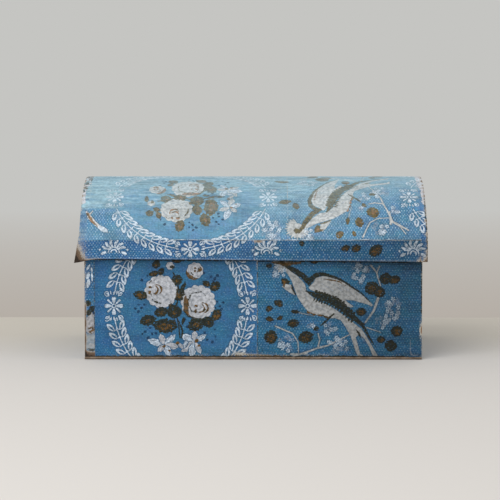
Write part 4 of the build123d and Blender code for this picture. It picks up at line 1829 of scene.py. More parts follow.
@dataclass
class BoxFront:
    """The two sheets on the front wall, folded over its top edge and a little way down inside."""

    step: float = 0.62
    coarse: float = 1.6
    medallion: Point = (-92.5, 68.8)
    crest: Point = (45.2, 128.8)
    left_lap: float = 12.7
    corner_run: float = 3.6
    corner_lap: float = 12.3
    covered: float = 128.0

    def __post_init__(self) -> None:
        """Read the sheets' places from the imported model."""
        low, high = node_box("front_paper_left")
        self.inner_left, self.face, self.foot = low
        self.seam, self.inside, self.top = high
        self.right_face = node_box("front_paper_right")[1][0]
        self.turned_in = node_box("front_lining")[1][2]
        lid_end = node_box("lid_left_end_paper")[0]
        self.rim, self.lid_half = lid_end[2], -lid_end[0]

    def fold(self, across: Array) -> tuple[Array, Press]:
        """Fold a grid up the face, over the top edge and down inside.

        Args:
            across: places of its columns.

        Returns:
            The grid and its press.
        """
        corners = [
            (self.face, self.foot), (self.face, self.covered), (self.face, self.top),
            (self.inside, self.top), (self.inside, self.turned_in),
        ]
        points, places = fold_path(corners, [self.step, self.coarse, 0.9, self.coarse], 0.55)
        return carried(points, across, 0), Press(across, places + self.foot)

    def wear(self, press: Press) -> Array:
        """Rub the fold, the foot, the seam and the stained lower middle.

        Args:
            press: the sheet's press.

        Returns:
            The wear of each point.
        """
        across, along = press.across, press.along
        wear = press.flat(0.03) + rubbed(along, self.top, 1.5, 0.5)[:, None]
        wear += rubbed(along, self.foot + 1.0, 3.0, 0.24)[:, None] * uneven(across, 30, 3, 0.6)[None, :]
        wear += rubbed(across, self.seam, 0.8, 0.42)[None, :] * uneven(along, 18, 4, 0.5)[:, None]
        for at, reach, strength in (((-17, 8), (10, 2.4), 0.45), ((4, 6), (22, 2.0), 0.24), ((92, 6), (12, 1.6), 0.2)):
            wear += blot(across, along, at, reach, strength)
        return wear * (0.25 + 0.75 * smooth(along, self.foot + 0.8, self.foot + 2.4))[:, None]

    def under_lid_and_foot_shade(self, press: Press) -> Array:
        """Paint shade on the print under the lid's edge and at the foot, where the sheet meets the base board.

        Args:
            press: the sheet's press.

        Returns:
            The painted shade of each point, negative where it is darker.
        """
        along = press.along
        shade = -0.24 * smooth(along, 100, 124) - 0.22 * np.exp(-(along - self.foot) / 4.0)
        return shade[:, None] * np.ones((1, len(press.across)))

    def shade_lines_and_stain(self, press: Press, start: float, end: float) -> None:
        """Print painted shadow along the foot, where the sheet meets the base board, and under the lid's edge, and the
        brown stain of the middle.

        Args:
            press: the sheet's press.
            start: where the lines start, across the sheet.
            end: where it ends.
        """
        press.place((0.0, self.foot))
        settling = Settling((-self.lid_half, 0.0, 0.0), 1.0)
        edge = self.rim - self.foot - 1.3
        for x in np.arange(start, end, 24.0):
            # Each pair: a painted shadow line along the foot, and one under the lid's edge, which follows its lift.
            run = [(x, 0.6), (x + 12.0, 0.8 + 0.4 * math.sin(x)), (x + 25.0, 0.6)]
            lid_shadow_line = [(float(at), edge + float(settling.lift(np.array(at)))) for at in (x, x + 12.0, x + 25.0)]
            press.brush((OLIVE, run, (1.7, 2.4 + 0.5 * math.cos(x), 1.7)))
            press.brush((OLIVE, lid_shadow_line, (1.2, 1.5 + 0.3 * math.sin(2 * x), 1.2)))
        press.brush((BROWN, ((-27, 2), (-8, 2.8), (20, 1.6), (44, 1.2)), (0.6, 2.2, 1.8, 0.6)))

    def left_sheet(self) -> None:
        """Build the left sheet with the medallion, and its strip inside the corner."""
        sheet = PrintedSheet("front_wallpaper_left")
        across = spread(-self.right_face + self.left_lap + 0.3, self.seam, self.step)
        edge = float(across[0])
        outer, press = self.fold(across)
        Medallion().print(press.place(self.medallion))
        self.shade_lines_and_stain(press, edge, self.seam)
        wear = self.wear(press) + rubbed(across, edge, 0.6, 0.26)[None, :]
        shaded = self.under_lid_and_foot_shade(press) - 0.20 * np.exp(-(across - edge) / 6.0)[None, :]
        sheet.add(cockled(outer, press, 0.16, 42, 1), press, wear, shaded)
        within = spread(self.inner_left, edge, 1.2)
        points, places = fold_path([(self.inside, self.top - 0.3), (self.inside, self.turned_in)], [self.coarse])
        inner = Press(within, places)
        sheet.add(carried(points, within, 0), inner, inner.flat(0.1), inner.flat(0.1), 4)
        sheet.build(FRONT_LEFT_PRINT, Body.BOX, "front_paper_left")

    def right_sheet(self) -> None:
        """Build the right sheet with the bird, lapped round the right corner."""
        sheet = PrintedSheet("front_wallpaper_right")
        wall_end, lap_end = self.right_face - self.corner_run, self.face + self.corner_lap
        outer, press = self.fold(spread(self.seam, wall_end, self.step))
        Songbird().print(press.place(self.crest))
        self.shade_lines_and_stain(press, self.seam, wall_end - 24)
        seam = self.seam + 0.4
        press.place().brush(
            (BROWN, ((24, 124.6), (40, 122.6), (60, 124)), (2, 4.6, 2.4)),
            (SHADE, ((200.4, 26), (200.8, 12), (201.4, 7), (205, 5.4), (211, 6.2)), (1, 1.9, 2.2, 1.8, 1)),
            (OLIVE, ((seam, 0), (seam, 150)), (0.7, 0.7)),
        )
        # Painted shade: the right sheet darkens towards the right, away from the lamp.
        shaded = self.under_lid_and_foot_shade(press) - 0.42 * smooth(press.across, 40, 205)[None, :]
        sheet.add(cockled(outer, press, 0.16, 38, 2), press, self.wear(press), shaded)
        self.corner(sheet, wall_end, lap_end)
        corners = [(self.right_face, self.top), (wall_end, self.top), (wall_end, self.turned_in)]
        points, places = fold_path(corners, [0.9, self.coarse], 0.4)
        ways = spread(self.inside, lap_end, 1.5)
        over = Press(ways, places)
        sheet.add(carried(points, ways, 1), over, over.flat(0.3), over.flat(), 3)
        sheet.build(FRONT_RIGHT_PRINT, Body.BOX, "front_paper_right")

    def corner(self, sheet: PrintedSheet, wall_end: float, lap_end: float) -> None:
        """Carry the right sheet round the corner onto the end.

        Args:
            sheet: the right sheet.
            wall_end: where its front part ends, across.
            lap_end: where it ends on the end wall.
        """
        right = self.right_face
        corners = [(wall_end, self.face), (right, self.face), (right, lap_end)]
        points, places = fold_path(corners, [self.step, self.step], 0.55)
        heights = stepped((self.foot, self.covered, self.top), (self.step, self.coarse))
        lap = Press(places + wall_end, heights)
        Songbird().print(lap.place(self.crest))
        lap.place().brush((OLIVE, ((right - 0.6, 60), (right - 0.8, 126)), (1.6, 1.2)))
        wear = lap.flat(0.05) + rubbed(lap.across, right, 1.2, 0.40)[None, :] * uneven(heights, 16, 8)[:, None]
        wear += blot(lap.across, heights, (right - 1.0, 38.0), (2.6, 11.0), 0.6)
        wear += rubbed(heights, self.foot, 1.4, 0.4)[:, None]
        # Painted shade: the lap on the end wall is darker still, as it faces away from the lamp.
        sheet.add(carried(points, heights, 2).transpose(1, 0, 2), lap, wear, self.under_lid_and_foot_shade(lap) - 0.42)

    def build(self) -> None:
        """Build both sheets."""
        self.left_sheet()
        self.right_sheet()


@dataclass
class BoxEnds:
    """The end papers, lapped round the corners, and the paper of the back."""

    step: float = 0.95
    front_step: float = 0.62
    back_step: float = 1.15
    left_lap: float = 12.7
    back_lap: float = 10.0
    paper: float = 0.3
    notch: float = 121.99

    def __post_init__(self) -> None:
        """Read the walls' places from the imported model."""
        low, high = node_box("left_end_paper")
        self.left_face, self.front, self.foot = low
        self.rear, self.top = high[1:]
        self.board_inside = node_box("left_wall")[1][0]
        self.right_start = node_box("right_end_paper")[0][1]
        self.back_top = node_box("back_wall")[1][2]
        self.turned_in = node_box("front_lining")[1][2]

    def wrap(self, corners: Sequence[Point], steps: Sequence[float]) -> tuple[Array, Press]:
        """Wrap an upright grid along a path in plan, cut back behind the notch.

        The height of each column is the full top, or the back wall's where y passes the notch.
        Each row keeps the same share of its column's height.

        Args:
            corners: the path's corners in mm.
            steps: spacing of the columns on each run.

        Returns:
            The grid and its press.
        """
        points, places = fold_path(corners, steps, 0.5)
        rows = np.linspace(0, 1, int((self.top - self.foot) / self.step) + 1)[:, None]
        tops = np.where(points[:, 1] > self.notch, self.back_top, self.top)[None, :]
        outer = np.zeros((len(rows), len(places), 3))
        outer[..., :2] = points[None, :, :]
        outer[..., 2] = self.foot + rows * (tops - self.foot)
        return outer, Press(places, self.foot + rows[:, 0] * (self.top - self.foot))

    def top_fold(self, sheet: PrintedSheet, side: float, start: float) -> None:
        """Fold the paper over an end wall's top edge and down inside.

        Args:
            sheet: the end's sheet.
            side: -1 for the left end, 1 for the right.
            start: where the fold starts behind the front.
        """
        face, inside = side * -self.left_face, side * -(self.board_inside + self.paper)
        points, places = fold_path([(face, self.top), (inside, self.top), (inside, self.turned_in)], [0.9, 1.6], 0.4)
        ways = spread(start, self.notch, 2.0) if side > 0 else spread(self.notch, start, 2.0)
        press = Press(np.abs(ways - ways[0]), places)
        wear = press.flat(0.1) + rubbed(places, 0.0, 1.2, 0.45)[:, None]
        sheet.add(carried(points, ways, 1), press, wear, press.flat(0.1), 3)

    def common_wear(self, press: Press, corners: Sequence[float]) -> Array:
        """Rub the foot and each upright corner.

        Args:
            press: the sheet's press.
            corners: where the corners lie, across the sheet.

        Returns:
            The wear of each point.
        """
        wear = press.flat(0.04) + rubbed(press.along, self.foot, 1.6, 0.6)[:, None]
        for index, place in enumerate(corners):
            wear += rubbed(press.across, place, 1.3, 0.62)[None, :] * uneven(press.along, 21, 20 + index)[:, None]
        return wear

    def corner_strip(self, press: Press, start: float) -> None:
        """Print the scraps of pattern that fall on the lap beside the front's left edge.

        Args:
            press: the press of the wrapped sheet.
            start: place of the front corner on the sheet.
        """
        press.place((start, 0.0))
        for x, z, length, width, turn in (
            (4.6, 118, 9, 3.2, 60), (9, 115, 7, 2.2, 100), (4.4, 107, 11, 4.2, 72), (9.4, 106, 12, 2.6, 92),
            (4.6, 97.5, 12, 4.8, 80),
        ):
            press.stamp(CHALK, leaf(length, width), (x, z), turn)
        for x, z, wide, high in (
            (4, 72, 4, 4.4), (9.2, 65, 3.6, 4.2), (4.6, 60, 4.4, 4), (8, 11.6, 5.4, 2.6), (4, 13.6, 2.6, 1.2),
        ):
            press.stamp(OLIVE, serrated(2 * wide, 2 * high, 7, 0.6), (x, z), 20.0)
        press.stamp(NAVY, oval(1.6, 3.0), (11.0, 60.5), 10.0)
        press.brush(
            (CREAM, ((8.6, 57), (6.8, 51), (6.8, 38)), (6.4, 10.2, 10.4)),
            (CREAM, ((7, 18.6), (12, 17.8)), (4.6, 3.6)),
            (BROWN, ((4.6, 40), (9.6, 41), (10.4, 37.6), (6, 35.6), (8.4, 33)), (1.4, 2.6, 2.2, 2.4, 1.2)),
            (OLIVE, ((12.3, 0), (12.4, 130)), (0.8, 0.8)),
        )

    def left_end(self) -> None:
        """Build the left end's paper: back lap, side and the strip on the front."""
        sheet = PrintedSheet("left_end_wallpaper")
        face, front = self.left_face, self.front
        back_corner = self.back_lap + self.paper
        front_corner = back_corner + self.rear - front
        corners = [
            (face + back_corner, self.rear), (face, self.rear), (face, self.notch),
            (face, front), (face + self.left_lap + self.paper, front),
        ]
        outer, press = self.wrap(corners, [self.step] * 3 + [self.front_step])
        Medallion().print(press.place((back_corner + 122.0, 72.0)))
        for ink in Ink:
            press.layers[ink][:, press.across > front_corner - 2.0] = UNPRINTED
        self.corner_strip(press, front_corner)
        across, along = press.across, press.along
        strip = smooth(across, front_corner - 1.0, front_corner + 1.5)[None, :]
        wear = self.common_wear(press, [back_corner, front_corner])
        wear += strip * (0.06 + 0.10 * ripple(across[None, :], along[:, None], 13, 31))
        wear += strip * 1.05 * (1 - smooth(along, 6, 13))[:, None]
        wear += rubbed(across, front_corner + 0.6, 1.0, 0.75)[None, :] * (1 - smooth(along, 68, 80))[:, None]
        fade_and_painted_light = strip * (0.9 * smooth(-along, -36, -29) * smooth(along, 10, 16))[:, None]
        sheet.add(outer, press, wear, fade_and_painted_light, 40)
        self.top_fold(sheet, -1.0, front)
        sheet.build(SIDE_PRINT, Body.BOX, "left_end_paper")

    def right_end(self) -> None:
        """Build the right end's paper: side and back lap."""
        sheet = PrintedSheet("right_end_wallpaper")
        face = -self.left_face
        corners = [
            (face, self.right_start), (face, self.notch), (face, self.rear),
            (face - self.back_lap - self.paper, self.rear),
        ]
        outer, press = self.wrap(corners, [self.step] * 3)
        Songbird().print(press.place((66.0, 129.0)))
        wear = self.common_wear(press, [self.rear - self.right_start]) + rubbed(press.across, 0.0, 0.8, 0.4)[None, :]
        sheet.add(outer, press, wear, press.flat(), 40)
        self.top_fold(sheet, 1.0, self.right_start)
        sheet.build(SIDE_PRINT, Body.BOX, "right_end_paper")

    def back(self) -> None:
        """Build the back's paper, which steps out over the linen and leaves its upper part bare."""
        sheet = PrintedSheet("back_wallpaper")
        (left, _, _), (right, proud, top) = node_box("back_paper")
        linen_foot = node_box("hinge_linen_lower")[0][2]
        corners = [(self.rear, self.foot), (self.rear, linen_foot - 1.0), (proud, linen_foot), (proud, top)]
        points, places = fold_path(corners, [self.back_step, 0.6, self.back_step], 0.3)
        across = spread(right, left, self.back_step)
        press = Press(right - across, places + self.foot)
        Medallion().print(press.place((118.0, 66.0)))
        Songbird().print(press.place((246.0, 116.0)))
        wear = press.flat(0.05) + rubbed(press.along, self.foot, 1.6, 0.6)[:, None]
        wear += rubbed(press.along, top, 0.9, 0.5)[:, None]
        for edge in (press.across[0], press.across[-1]):
            wear += rubbed(press.across, edge, 0.8, 0.4)[None, :]
        sheet.add(cockled(carried(points, across, 0), press, 0.12, 50, 9), press, wear, press.flat(), 30)
        sheet.build(SIDE_PRINT, Body.BOX, "back_paper")

    def build(self) -> None:
        """Build the ends and the back."""
        self.left_end()
        self.right_end()
        self.back()


@dataclass
class Lid:
    """The lid's sheets, its crushed corner's boards, and how they have settled."""

    step: float = 0.62
    dome_step: float = 0.85
    paper: float = 0.3
    rim_board: float = 3.0
    turn_in: float = 10.0
    medallion: Point = (-80.0, 100.5)
    crest: Point = (53.1, 48.8)
    next_medallion: Point = (300.0, 100.5)
    face_rows: int = 80
    board_rows: int = 40

    def __post_init__(self) -> None:
        """Read the lid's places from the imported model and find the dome's circle.

        The board's arc of rise h over its half chord c has the radius (c^2 + h^2) / 2h.
        """
        (_, self.front, _), (self.half, self.back, top) = node_box("dome_board")
        self.crease = node_box("lid_front_rim")[1][2]
        chord, rise = (self.back - self.front) / 2, top - self.crease
        self.middle = (self.back + self.front) / 2
        self.board_radius = (chord**2 + rise**2) / (2 * rise)
        self.centre = top - self.board_radius
        self.bottom = node_box("lid_left_end_paper")[0][2]
        self.left_edge, self.dome_seam = (corner[0] for corner in node_box("dome_paper_left"))
        self.right_edge = node_box("dome_paper_right")[1][0]
        self.band_seam = node_box("lid_front_band_left")[1][0]
        self.near, self.rear = self.front - self.paper, self.back + self.paper
        self.inner_corner = self.bottom + self.paper + self.turn_in
        self.settling = Settling((-self.half - self.paper, self.near, self.bottom), self.crease)

    def height(self, y: Array, inset: float) -> Array:
        """Give the height of the dome's face over y, set in by inset from the board's outer face."""
        return self.centre + np.sqrt((self.board_radius - inset) ** 2 - (y - self.middle) ** 2)

    def arc(self, places: Array) -> Array:
        """Walk along the dome's covered arc.

        Args:
            places: distances from its front crease.

        Returns:
            The points' y and z.
        """
        radius = self.board_radius + self.paper
        angles = math.asin((self.near - self.middle) / radius) + places / radius
        return np.stack([self.middle + radius * np.sin(angles), self.centre + radius * np.cos(angles)], -1)

    def arc_length(self) -> float:
        """Measure the dome's covered arc between its creases."""
        radius = self.board_radius + self.paper
        return 2 * radius * math.asin((self.middle - self.near) / radius)

    def printed(self, press: Press) -> Press:
        """Print the roll's pattern as it lies on the lid, turned a quarter to the left.

        Args:
            press: a sheet's press.

        Returns:
            The press itself, back at the sheet's own origin.
        """
        Medallion().print(press.place(self.medallion, 90.0))
        Medallion().print(press.place(self.next_medallion, 90.0))
        Songbird().print(press.place(self.crest, 90.0))
        press.place().brush(
            (CREAM, ((-214, 72), (-209, 62), (-202, 53), (-196, 47), (-189, 42)), (1.8, 5.6, 4.6, 4.6, 3.4)),
            (CREAM, ((-211, 65), (-206, 73)), (2.8, 1.4)),
            (BROWN, ((-212.5, 69), (-206, 56), (-199, 48.5)), (3.4, 3.4, 1.4)),
            (OLIVE, ((-211.5, 66), (-207.5, 61)), (3.2, 2.6)),
        )
        press.stamp(CHALK, leaf(17.0, 6.6), (-191.5, 44.0), -36.0)
        for old, new, length, width in (
            ((153, 26), (155.5, 14.5), 20, 17), ((129.8, 24.4), (130.5, 17.5), 13, 12),
            ((116.7, 23.7), (117, 17.5), 12, 10),
        ):
            press.clear((OLIVE, BROWN), oval(0.6 * length, 0.6 * length), old)
            print_leaves(press, ((*new, length, width, 2 * length, 1),))
        print_leaves(press, ((153.7, 106, 9, 7, 0, 0.3),))
        press.stamp(CHALK, leaf(6.0, 3.0), (159.0, 104.5), 40.0)
        return press

    def fade_sheen_and_shade(self, press: Press) -> Array:
        """Pale the top of the lid, where it has faded and where painted sheen and light from above lie: half a cosine
        wave of the distance over the dome.

        Args:
            press: a sheet's press.

        Returns:
            The faded share of each point, with painted sheen; negative where it is darker, which towards the right is
            painted shade.
        """
        across, along = press.across, press.along
        crown = np.clip((along - 26.0) / (self.arc_length() / 2), 0, 2)
        shape = (0.5 - 0.5 * np.cos(math.pi * crown)) ** 0.8
        # Painted shade: towards the right the lid darkens, away from the lamp, and is paled less.
        right = smooth(across, 70, 205) * (1 - 0.75 * smooth(along, 70, 165)[:, None])
        left, above = smooth(-across, 170, 182), smooth(along, 76.5, 80.0)
        step = 0.34 * above * (1 - smooth(along, 110, 160)) - 0.20 * (1 - above) * smooth(along, 34, 60)
        fade_and_painted_light = (0.08 * smooth(along, 22, 34) + 0.74 * shape)[:, None] * (1 - 0.34 * right) - 0.24 * right
        return fade_and_painted_light + step[:, None] * left

    def dome_sheet(self, name: str, start: float, end: float, stands_for: str) -> None:
        """Build one sheet of the dome.

        Args:
            name: name of the piece.
            start: its left edge.
            end: its right edge.
            stands_for: the node that it replaces.
        """
        sheet = PrintedSheet(name)
        rows = stepped((0, 90, 170, self.arc_length()), (0.7, 1.0, 2.0))
        across = spread(start, end, self.dome_step)
        outer = carried(self.arc(rows), across, 0)
        press = self.printed(Press(across, rows + self.crease - self.bottom))
        along = press.along
        foot, edge, right_part = float(along[0]), uneven(across, 26, 41, 0.5), smooth(across, -118.0, -92.0)
        press.place((0.0, foot))
        # A pale line along the lifted lower edge: painted highlight where the edge catches the light.
        for x in np.arange(max(start, -99.0), end, 15.0):
            lip = [(x, 0.2), (x + 8.0, 0.3 + 0.4 * math.sin(x)), (x + 16.0, 0.2)]
            press.brush((CHALK, lip, (0.4, 1.1 + 0.6 * math.cos(3 * x), 0.4)))
        wear = press.flat(0.06) + rubbed(along, foot, 0.7, 0.24)[:, None] * (edge * right_part)[None, :]
        wear += rubbed(along, along[-1], 1.5, 0.5)[:, None]
        wear += rubbed(across, self.dome_seam, 0.6, 0.32)[None, :] * uneven(along, 24, 42)[:, None]
        for place in (self.left_edge, self.right_edge):
            high_up = smooth(along, 70, 130)
            wear += rubbed(across, place, 1.2, 0.26)[None, :] * (high_up * uneven(along, 9, 43, 0.9))[:, None]
        wear += 0.10 * smooth(ripple(across[None, :], along[:, None], 17, 44), 0.6, 1.6)
        lifted = 0.55 * np.exp(-(along - foot) / 2.2)[:, None] * (right_part * edge)[None, :]
        outer = cockled(outer, press, 0.30, 34, 45) + lifted[..., None] * grid_normals(outer)
        sheet.add(self.settling.shift(outer), press, wear, self.fade_sheen_and_shade(press), 30)
        sheet.build(DOME_PRINT, Body.LID, stands_for)

    def front_band(self, name: str, start: float, end: float, stands_for: str) -> None:
        """Build one strip round the front rim: down inside it, under it and up its face.

        Args:
            name: name of the piece.
            start: its left edge.
            end: its right edge.
            stands_for: the node that it replaces.
        """
        sheet = PrintedSheet(name)
        face, inside = self.near, self.front + self.rim_board + self.paper
        crest = float(self.height(np.array(face), -self.paper))
        corners = [(inside, self.inner_corner), (inside, self.bottom), (face, self.bottom), (face, crest)]
        points, places = fold_path(corners, [1.6, 0.9, self.step], 0.55)
        places = places - places[-1] + crest - self.bottom
        across = spread(start, end, self.step)
        outer = carried(points, across, 0)
        press = self.printed(Press(across, places))
        for x in np.arange(start, end, 19.0):
            lip = [(x, 1.1), (x + 10.0, 1.2 + 0.3 * math.sin(x)), (x + 20.0, 1.1)]
            press.brush((SHADE, lip, (0.6, 1.1 + 0.4 * math.cos(2 * x), 0.6)))
        # A painted shadow line along the band's lower edge at the crushed corner, under the lid's edge.
        press.brush((OLIVE, ((-229, 0.4), (-212, 0.5), (-200, 0.2)), (1.6, 1.8, 0.6)))
        wear = press.flat(0.07) + rubbed(places, -0.2, 0.9, 0.34)[:, None] * uneven(across, 30, 51)[None, :]
        wear += rubbed(places, float(places[-1]), 0.6, 0.2)[:, None]
        wear += rubbed(across, self.band_seam, 0.6, 0.3)[None, :]
        wear += blot(across, places, (7.0, 26.6), (5.5, 2.2), 0.8)
        wear += blot(across, places, (self.right_edge + 2, 1.0), (7.0, 5.5), 0.7)
        wear += (rubbed(across, self.left_edge, 0.7, 0.22) + rubbed(across, self.right_edge, 0.7, 0.3))[None, :]
        wear += self.corner_wear(outer)
        # Painted shade: the band darkens towards the right, away from the lamp.
        shaded = -0.42 * smooth(across, -90, 215)[None, :] * np.ones((len(places), 1))
        sheet.add(self.settling.shift(cockled(outer, press, 0.14, 28, 52)), press, wear, shaded, 30)
        sheet.build(RIM_PRINT if start < self.band_seam else RIM_RIGHT_PRINT, Body.LID, stands_for)

    def corner_wear(self, outer: Array) -> Array:
        """Bare the board at the crushed corner: bell curves of the distance from the corner's edges. At its lower edge
        the wear reaches the soiled and black tones: worn board, and painted shadow under the lid's edge.

        Args:
            outer: the grid's places.

        Returns:
            The wear of each point.
        """
        x, y, z = (outer[..., axis] - self.settling.corner[axis] for axis in range(3))
        near = np.exp(-((np.abs(x) / 9.8) ** 3) - (y / 9.0) ** 2)
        low = bell(z / 17.0)
        foot = np.exp(-np.abs(z) / 3.2) * bell(x / 21.0) * bell(y / 22.0)
        tip = bell(x / 4.2, y / 9.0)
        # Worn, and darkened at the very edge as painted shadow under the lid.
        lip = np.exp(-np.abs(z) / 0.9) * bell(x / 20.0, y / 9.0)
        return 0.95 * near * (0.20 + 0.80 * low) + 0.8 * foot + 0.7 * tip * low + 0.8 * lip

    def end_cover(self, side: int, name: str, stands_for: str) -> None:
        """Build an end's paper: its arched face, the lap round it and the turned-in edge.

        Args:
            side: -1 for the left end, 1 for the right.
            name: name of the piece.
            stands_for: the node that it replaces.
        """
        sheet = PrintedSheet(name)
        face = side * (self.half + self.paper)
        self.lap(sheet, side, face)
        self.arched_face(sheet, side, face)
        self.under_fold(sheet, side, face)
        sheet.build(LID_END_PRINT, Body.LID, stands_for)

    def lap(self, sheet: PrintedSheet, side: int, face: float) -> None:
        """Lay the strip that laps from the end onto the rims and the dome, over the whole section.

        Args:
            sheet: the end's sheet.
            side: -1 for the left end, 1 for the right.
            face: x of the covered end.
        """
        crease = float(self.height(np.array(self.near), -self.paper))
        points = np.concatenate([
            np.stack([np.full(38, self.near), np.linspace(self.bottom, crease, 38)], -1),
            self.arc(spread(0, self.arc_length(), 1.1))[1:-1],
            np.stack([np.full(20, self.rear), np.linspace(crease, self.bottom, 20)], -1),
        ])
        places = walked(points)
        edge = self.left_edge if side < 0 else self.right_edge
        across = spread(min(face, edge), max(face, edge), 0.75)
        outer = carried(points, across, 0)
        press = self.printed(Press(across, places)).place((face, 0.0))
        self.crumbs(press, side)
        if side > 0:
            press.brush((OLIVE, ((-0.8, 4), (-1, 60), (-1.2, 118)), (2.2, 2, 1)))
            fringe, height, torn = rubbed(across, face, 2.6, 0.72), 0.85, 0.7
        else:
            press.brush((OLIVE, ((0.4, 0), (0.5, 12), (0.2, 27)), (2.6, 2.2, 0.8)))
            fringe, height, torn = rubbed(across, face, 1.8, 0.42), 0.5 + 0.8 * smooth(places, 60, 85), 0.0
        # A painted shadow line along the lap's lower edge, under the lid's edge.
        press.brush((OLIVE, ((-14, 0.5), (14, 0.5)), (1.8, 1.8)))
        wear = press.flat(0.07) + fringe[None, :] * (uneven(places, 8, 61, 0.7) * height)[:, None]
        wear += rubbed(places, 0.0, 1.2, 0.5)[:, None] + self.corner_wear(outer)
        specks = 0.8 + 0.6 * ripple(across[None, :], places[:, None], 9, 62)
        wear += smooth(places, 105, 140)[:, None] * rubbed(across, face, 5, 0.14)[None, :] * specks
        wear += blot(across, places, (face, 1.0), (7.0, 5.5), torn)
        # The right end's lap is darker by a tenth as painted shade, away from the lamp.
        fade_and_painted_light = self.fade_sheen_and_shade(press) + 0.25 * smooth(places, 27, 30)[:, None] - 0.10 * (side > 0)
        sheet.add(self.settling.shift(outer), press, wear, fade_and_painted_light, 4)

    def crumbs(self, press: Press, side: int) -> None:
        """Print the crumbs of paste and paper along the dome's edge, pale ones and on the left dark ones.

        Args:
            press: the lap's press, placed at the end's face.
            side: -1 for the left end, 1 for the right.
        """
        rng = np.random.default_rng(SEED + side + 60)
        for index, place in enumerate(rng.uniform(88, 195, 170)):
            spot = (-side * rng.uniform(0.2, 3.0 + 6.5 * smooth(place, 110, 150)), float(place))
            blob = serrated(rng.uniform(1.3, 3.2), rng.uniform(2.2, 6.4), 5, 0.4)
            dark = side < 0 and (index % 3 > 0 if place > 114 else index % 4 == 0)
            press.clear((OLIVE, BROWN), blob, spot, 20.0 * index)
            press.stamp((OLIVE, BROWN)[index % 2] if dark else CREAM, blob, spot, 20.0 * index)

    def arched_face(self, sheet: PrintedSheet, side: int, face: float) -> None:
        """Lay the arched face. Each column reaches from the bottom to the dome above it.

        Args:
            sheet: the end's sheet.
            side: -1 for the left end, 1 for the right.
            face: x of the covered end.
        """
        ways = spread(self.near, self.rear, 1.3)[::side]
        tops = self.height(ways, -self.paper)
        share = np.linspace(0, 1, self.face_rows)[:, None]
        outer = np.zeros((self.face_rows, len(ways), 3))
        outer[..., 0], outer[..., 1] = face, ways
        outer[..., 2] = self.bottom + share * (tops - self.bottom)
        reach = np.abs(ways - ways[0])
        even = Press(spread(0, float(reach[-1]), 1.0), spread(self.bottom, float(tops.max()), 1.0))
        if side < 0:
            Songbird().print(even.place((58.0, 228.0)))
        else:
            Medallion().print(even.place((128.0, 152.0), 90.0))
        press = Press(reach, share[:, 0])
        for ink in Ink:
            press.layers[ink] = self.resampled(even, ink, np.broadcast_to(reach, outer.shape[:2]), outer[..., 2])
        rise, below = outer[..., 2] - self.bottom, tops[None, :] - outer[..., 2]
        rough = 0.8 + 0.3 * ripple(reach[None, :], rise, 17, 70)
        wear = 0.05 + (0.50 * np.exp(-below / 1.8) + 0.55 * np.exp(-rise / 1.5)) * rough
        wear += rubbed(outer[..., 1], self.near, 1.4, 0.45) + self.corner_wear(outer)
        sheet.add(self.settling.shift(outer), press, wear, 0.22 * (rise / 100.0), 30)

    @staticmethod
    def resampled(press: Press, ink: Ink, across: Array, along: Array) -> Array:
        """Read a printed layer between its grid points, by bilinear interpolation.

        Args:
            press: the press that holds the layer.
            ink: the layer.
            across: first coordinate of the places.
            along: second coordinate of the places.

        Returns:
            The layer's value at each place.
        """
        layer = press.layers[ink]
        column, row = (
            np.clip(np.interp(places, marks, np.arange(len(marks))), 0, len(marks) - 1.001)
            for places, marks in ((across, press.across), (along, press.along))
        )
        c0, r0 = column.astype(int), row.astype(int)
        fx, fy = column - c0, row - r0
        near = layer[r0, c0] * (1 - fx) + layer[r0, c0 + 1] * fx
        far = layer[r0 + 1, c0] * (1 - fx) + layer[r0 + 1, c0 + 1] * fx
        return near * (1 - fy) + far * fy

    def under_fold(self, sheet: PrintedSheet, side: int, face: float) -> None:
        """Fold the end's paper under its board and up inside.

        Args:
            sheet: the end's sheet.
            side: -1 for the left end, 1 for the right.
            face: x of the covered end.
        """
        inset = self.rim_board + self.paper
        inside = side * (self.half - self.rim_board - self.paper)
        corners = [(inside, self.inner_corner), (inside, self.bottom), (face, self.bottom)]
        points, places = fold_path(corners, [1.6, 0.9], 0.4)
        ways = spread(self.front + inset, self.back - inset, 2.0)[::side]
        outer = carried(points, ways, 1)
        press = Press(np.abs(ways - ways[0]), places)
        wear = press.flat(0.12) + self.corner_wear(outer)
        sheet.add(self.settling.shift(outer), press, wear, press.flat(0.1), 8)

    def back_band(self) -> None:
        """Build the strip on the back rim, which steps out over the linen."""
        sheet = PrintedSheet("lid_back_wallpaper")
        (left, _, low), (right, proud, top) = node_box("lid_back_band")
        head = node_box("hinge_linen_upper")[1][2]
        corners = [(proud, low), (proud, head), (self.rear, head + 1.0), (self.rear, top)]
        points, places = fold_path(corners, [1.1, 0.5, 0.6], 0.25)
        across = spread(right, left, 1.1)
        press = Press(right - across, places)
        Medallion().print(press.place((120.0, 66.0), 90.0))
        Songbird().print(press.place((250.0, 40.0), 90.0))
        worn = rubbed(places, 0.0, 0.8, 0.5)[:, None]
        wear = press.flat(0.06) + worn + rubbed(places, float(places[-1]), 0.8, 0.4)[:, None]
        sheet.add(carried(points, across, 0), press, wear, press.flat(0.05), 30)
        sheet.build(RIM_PRINT, Body.LID, "lid_back_band")

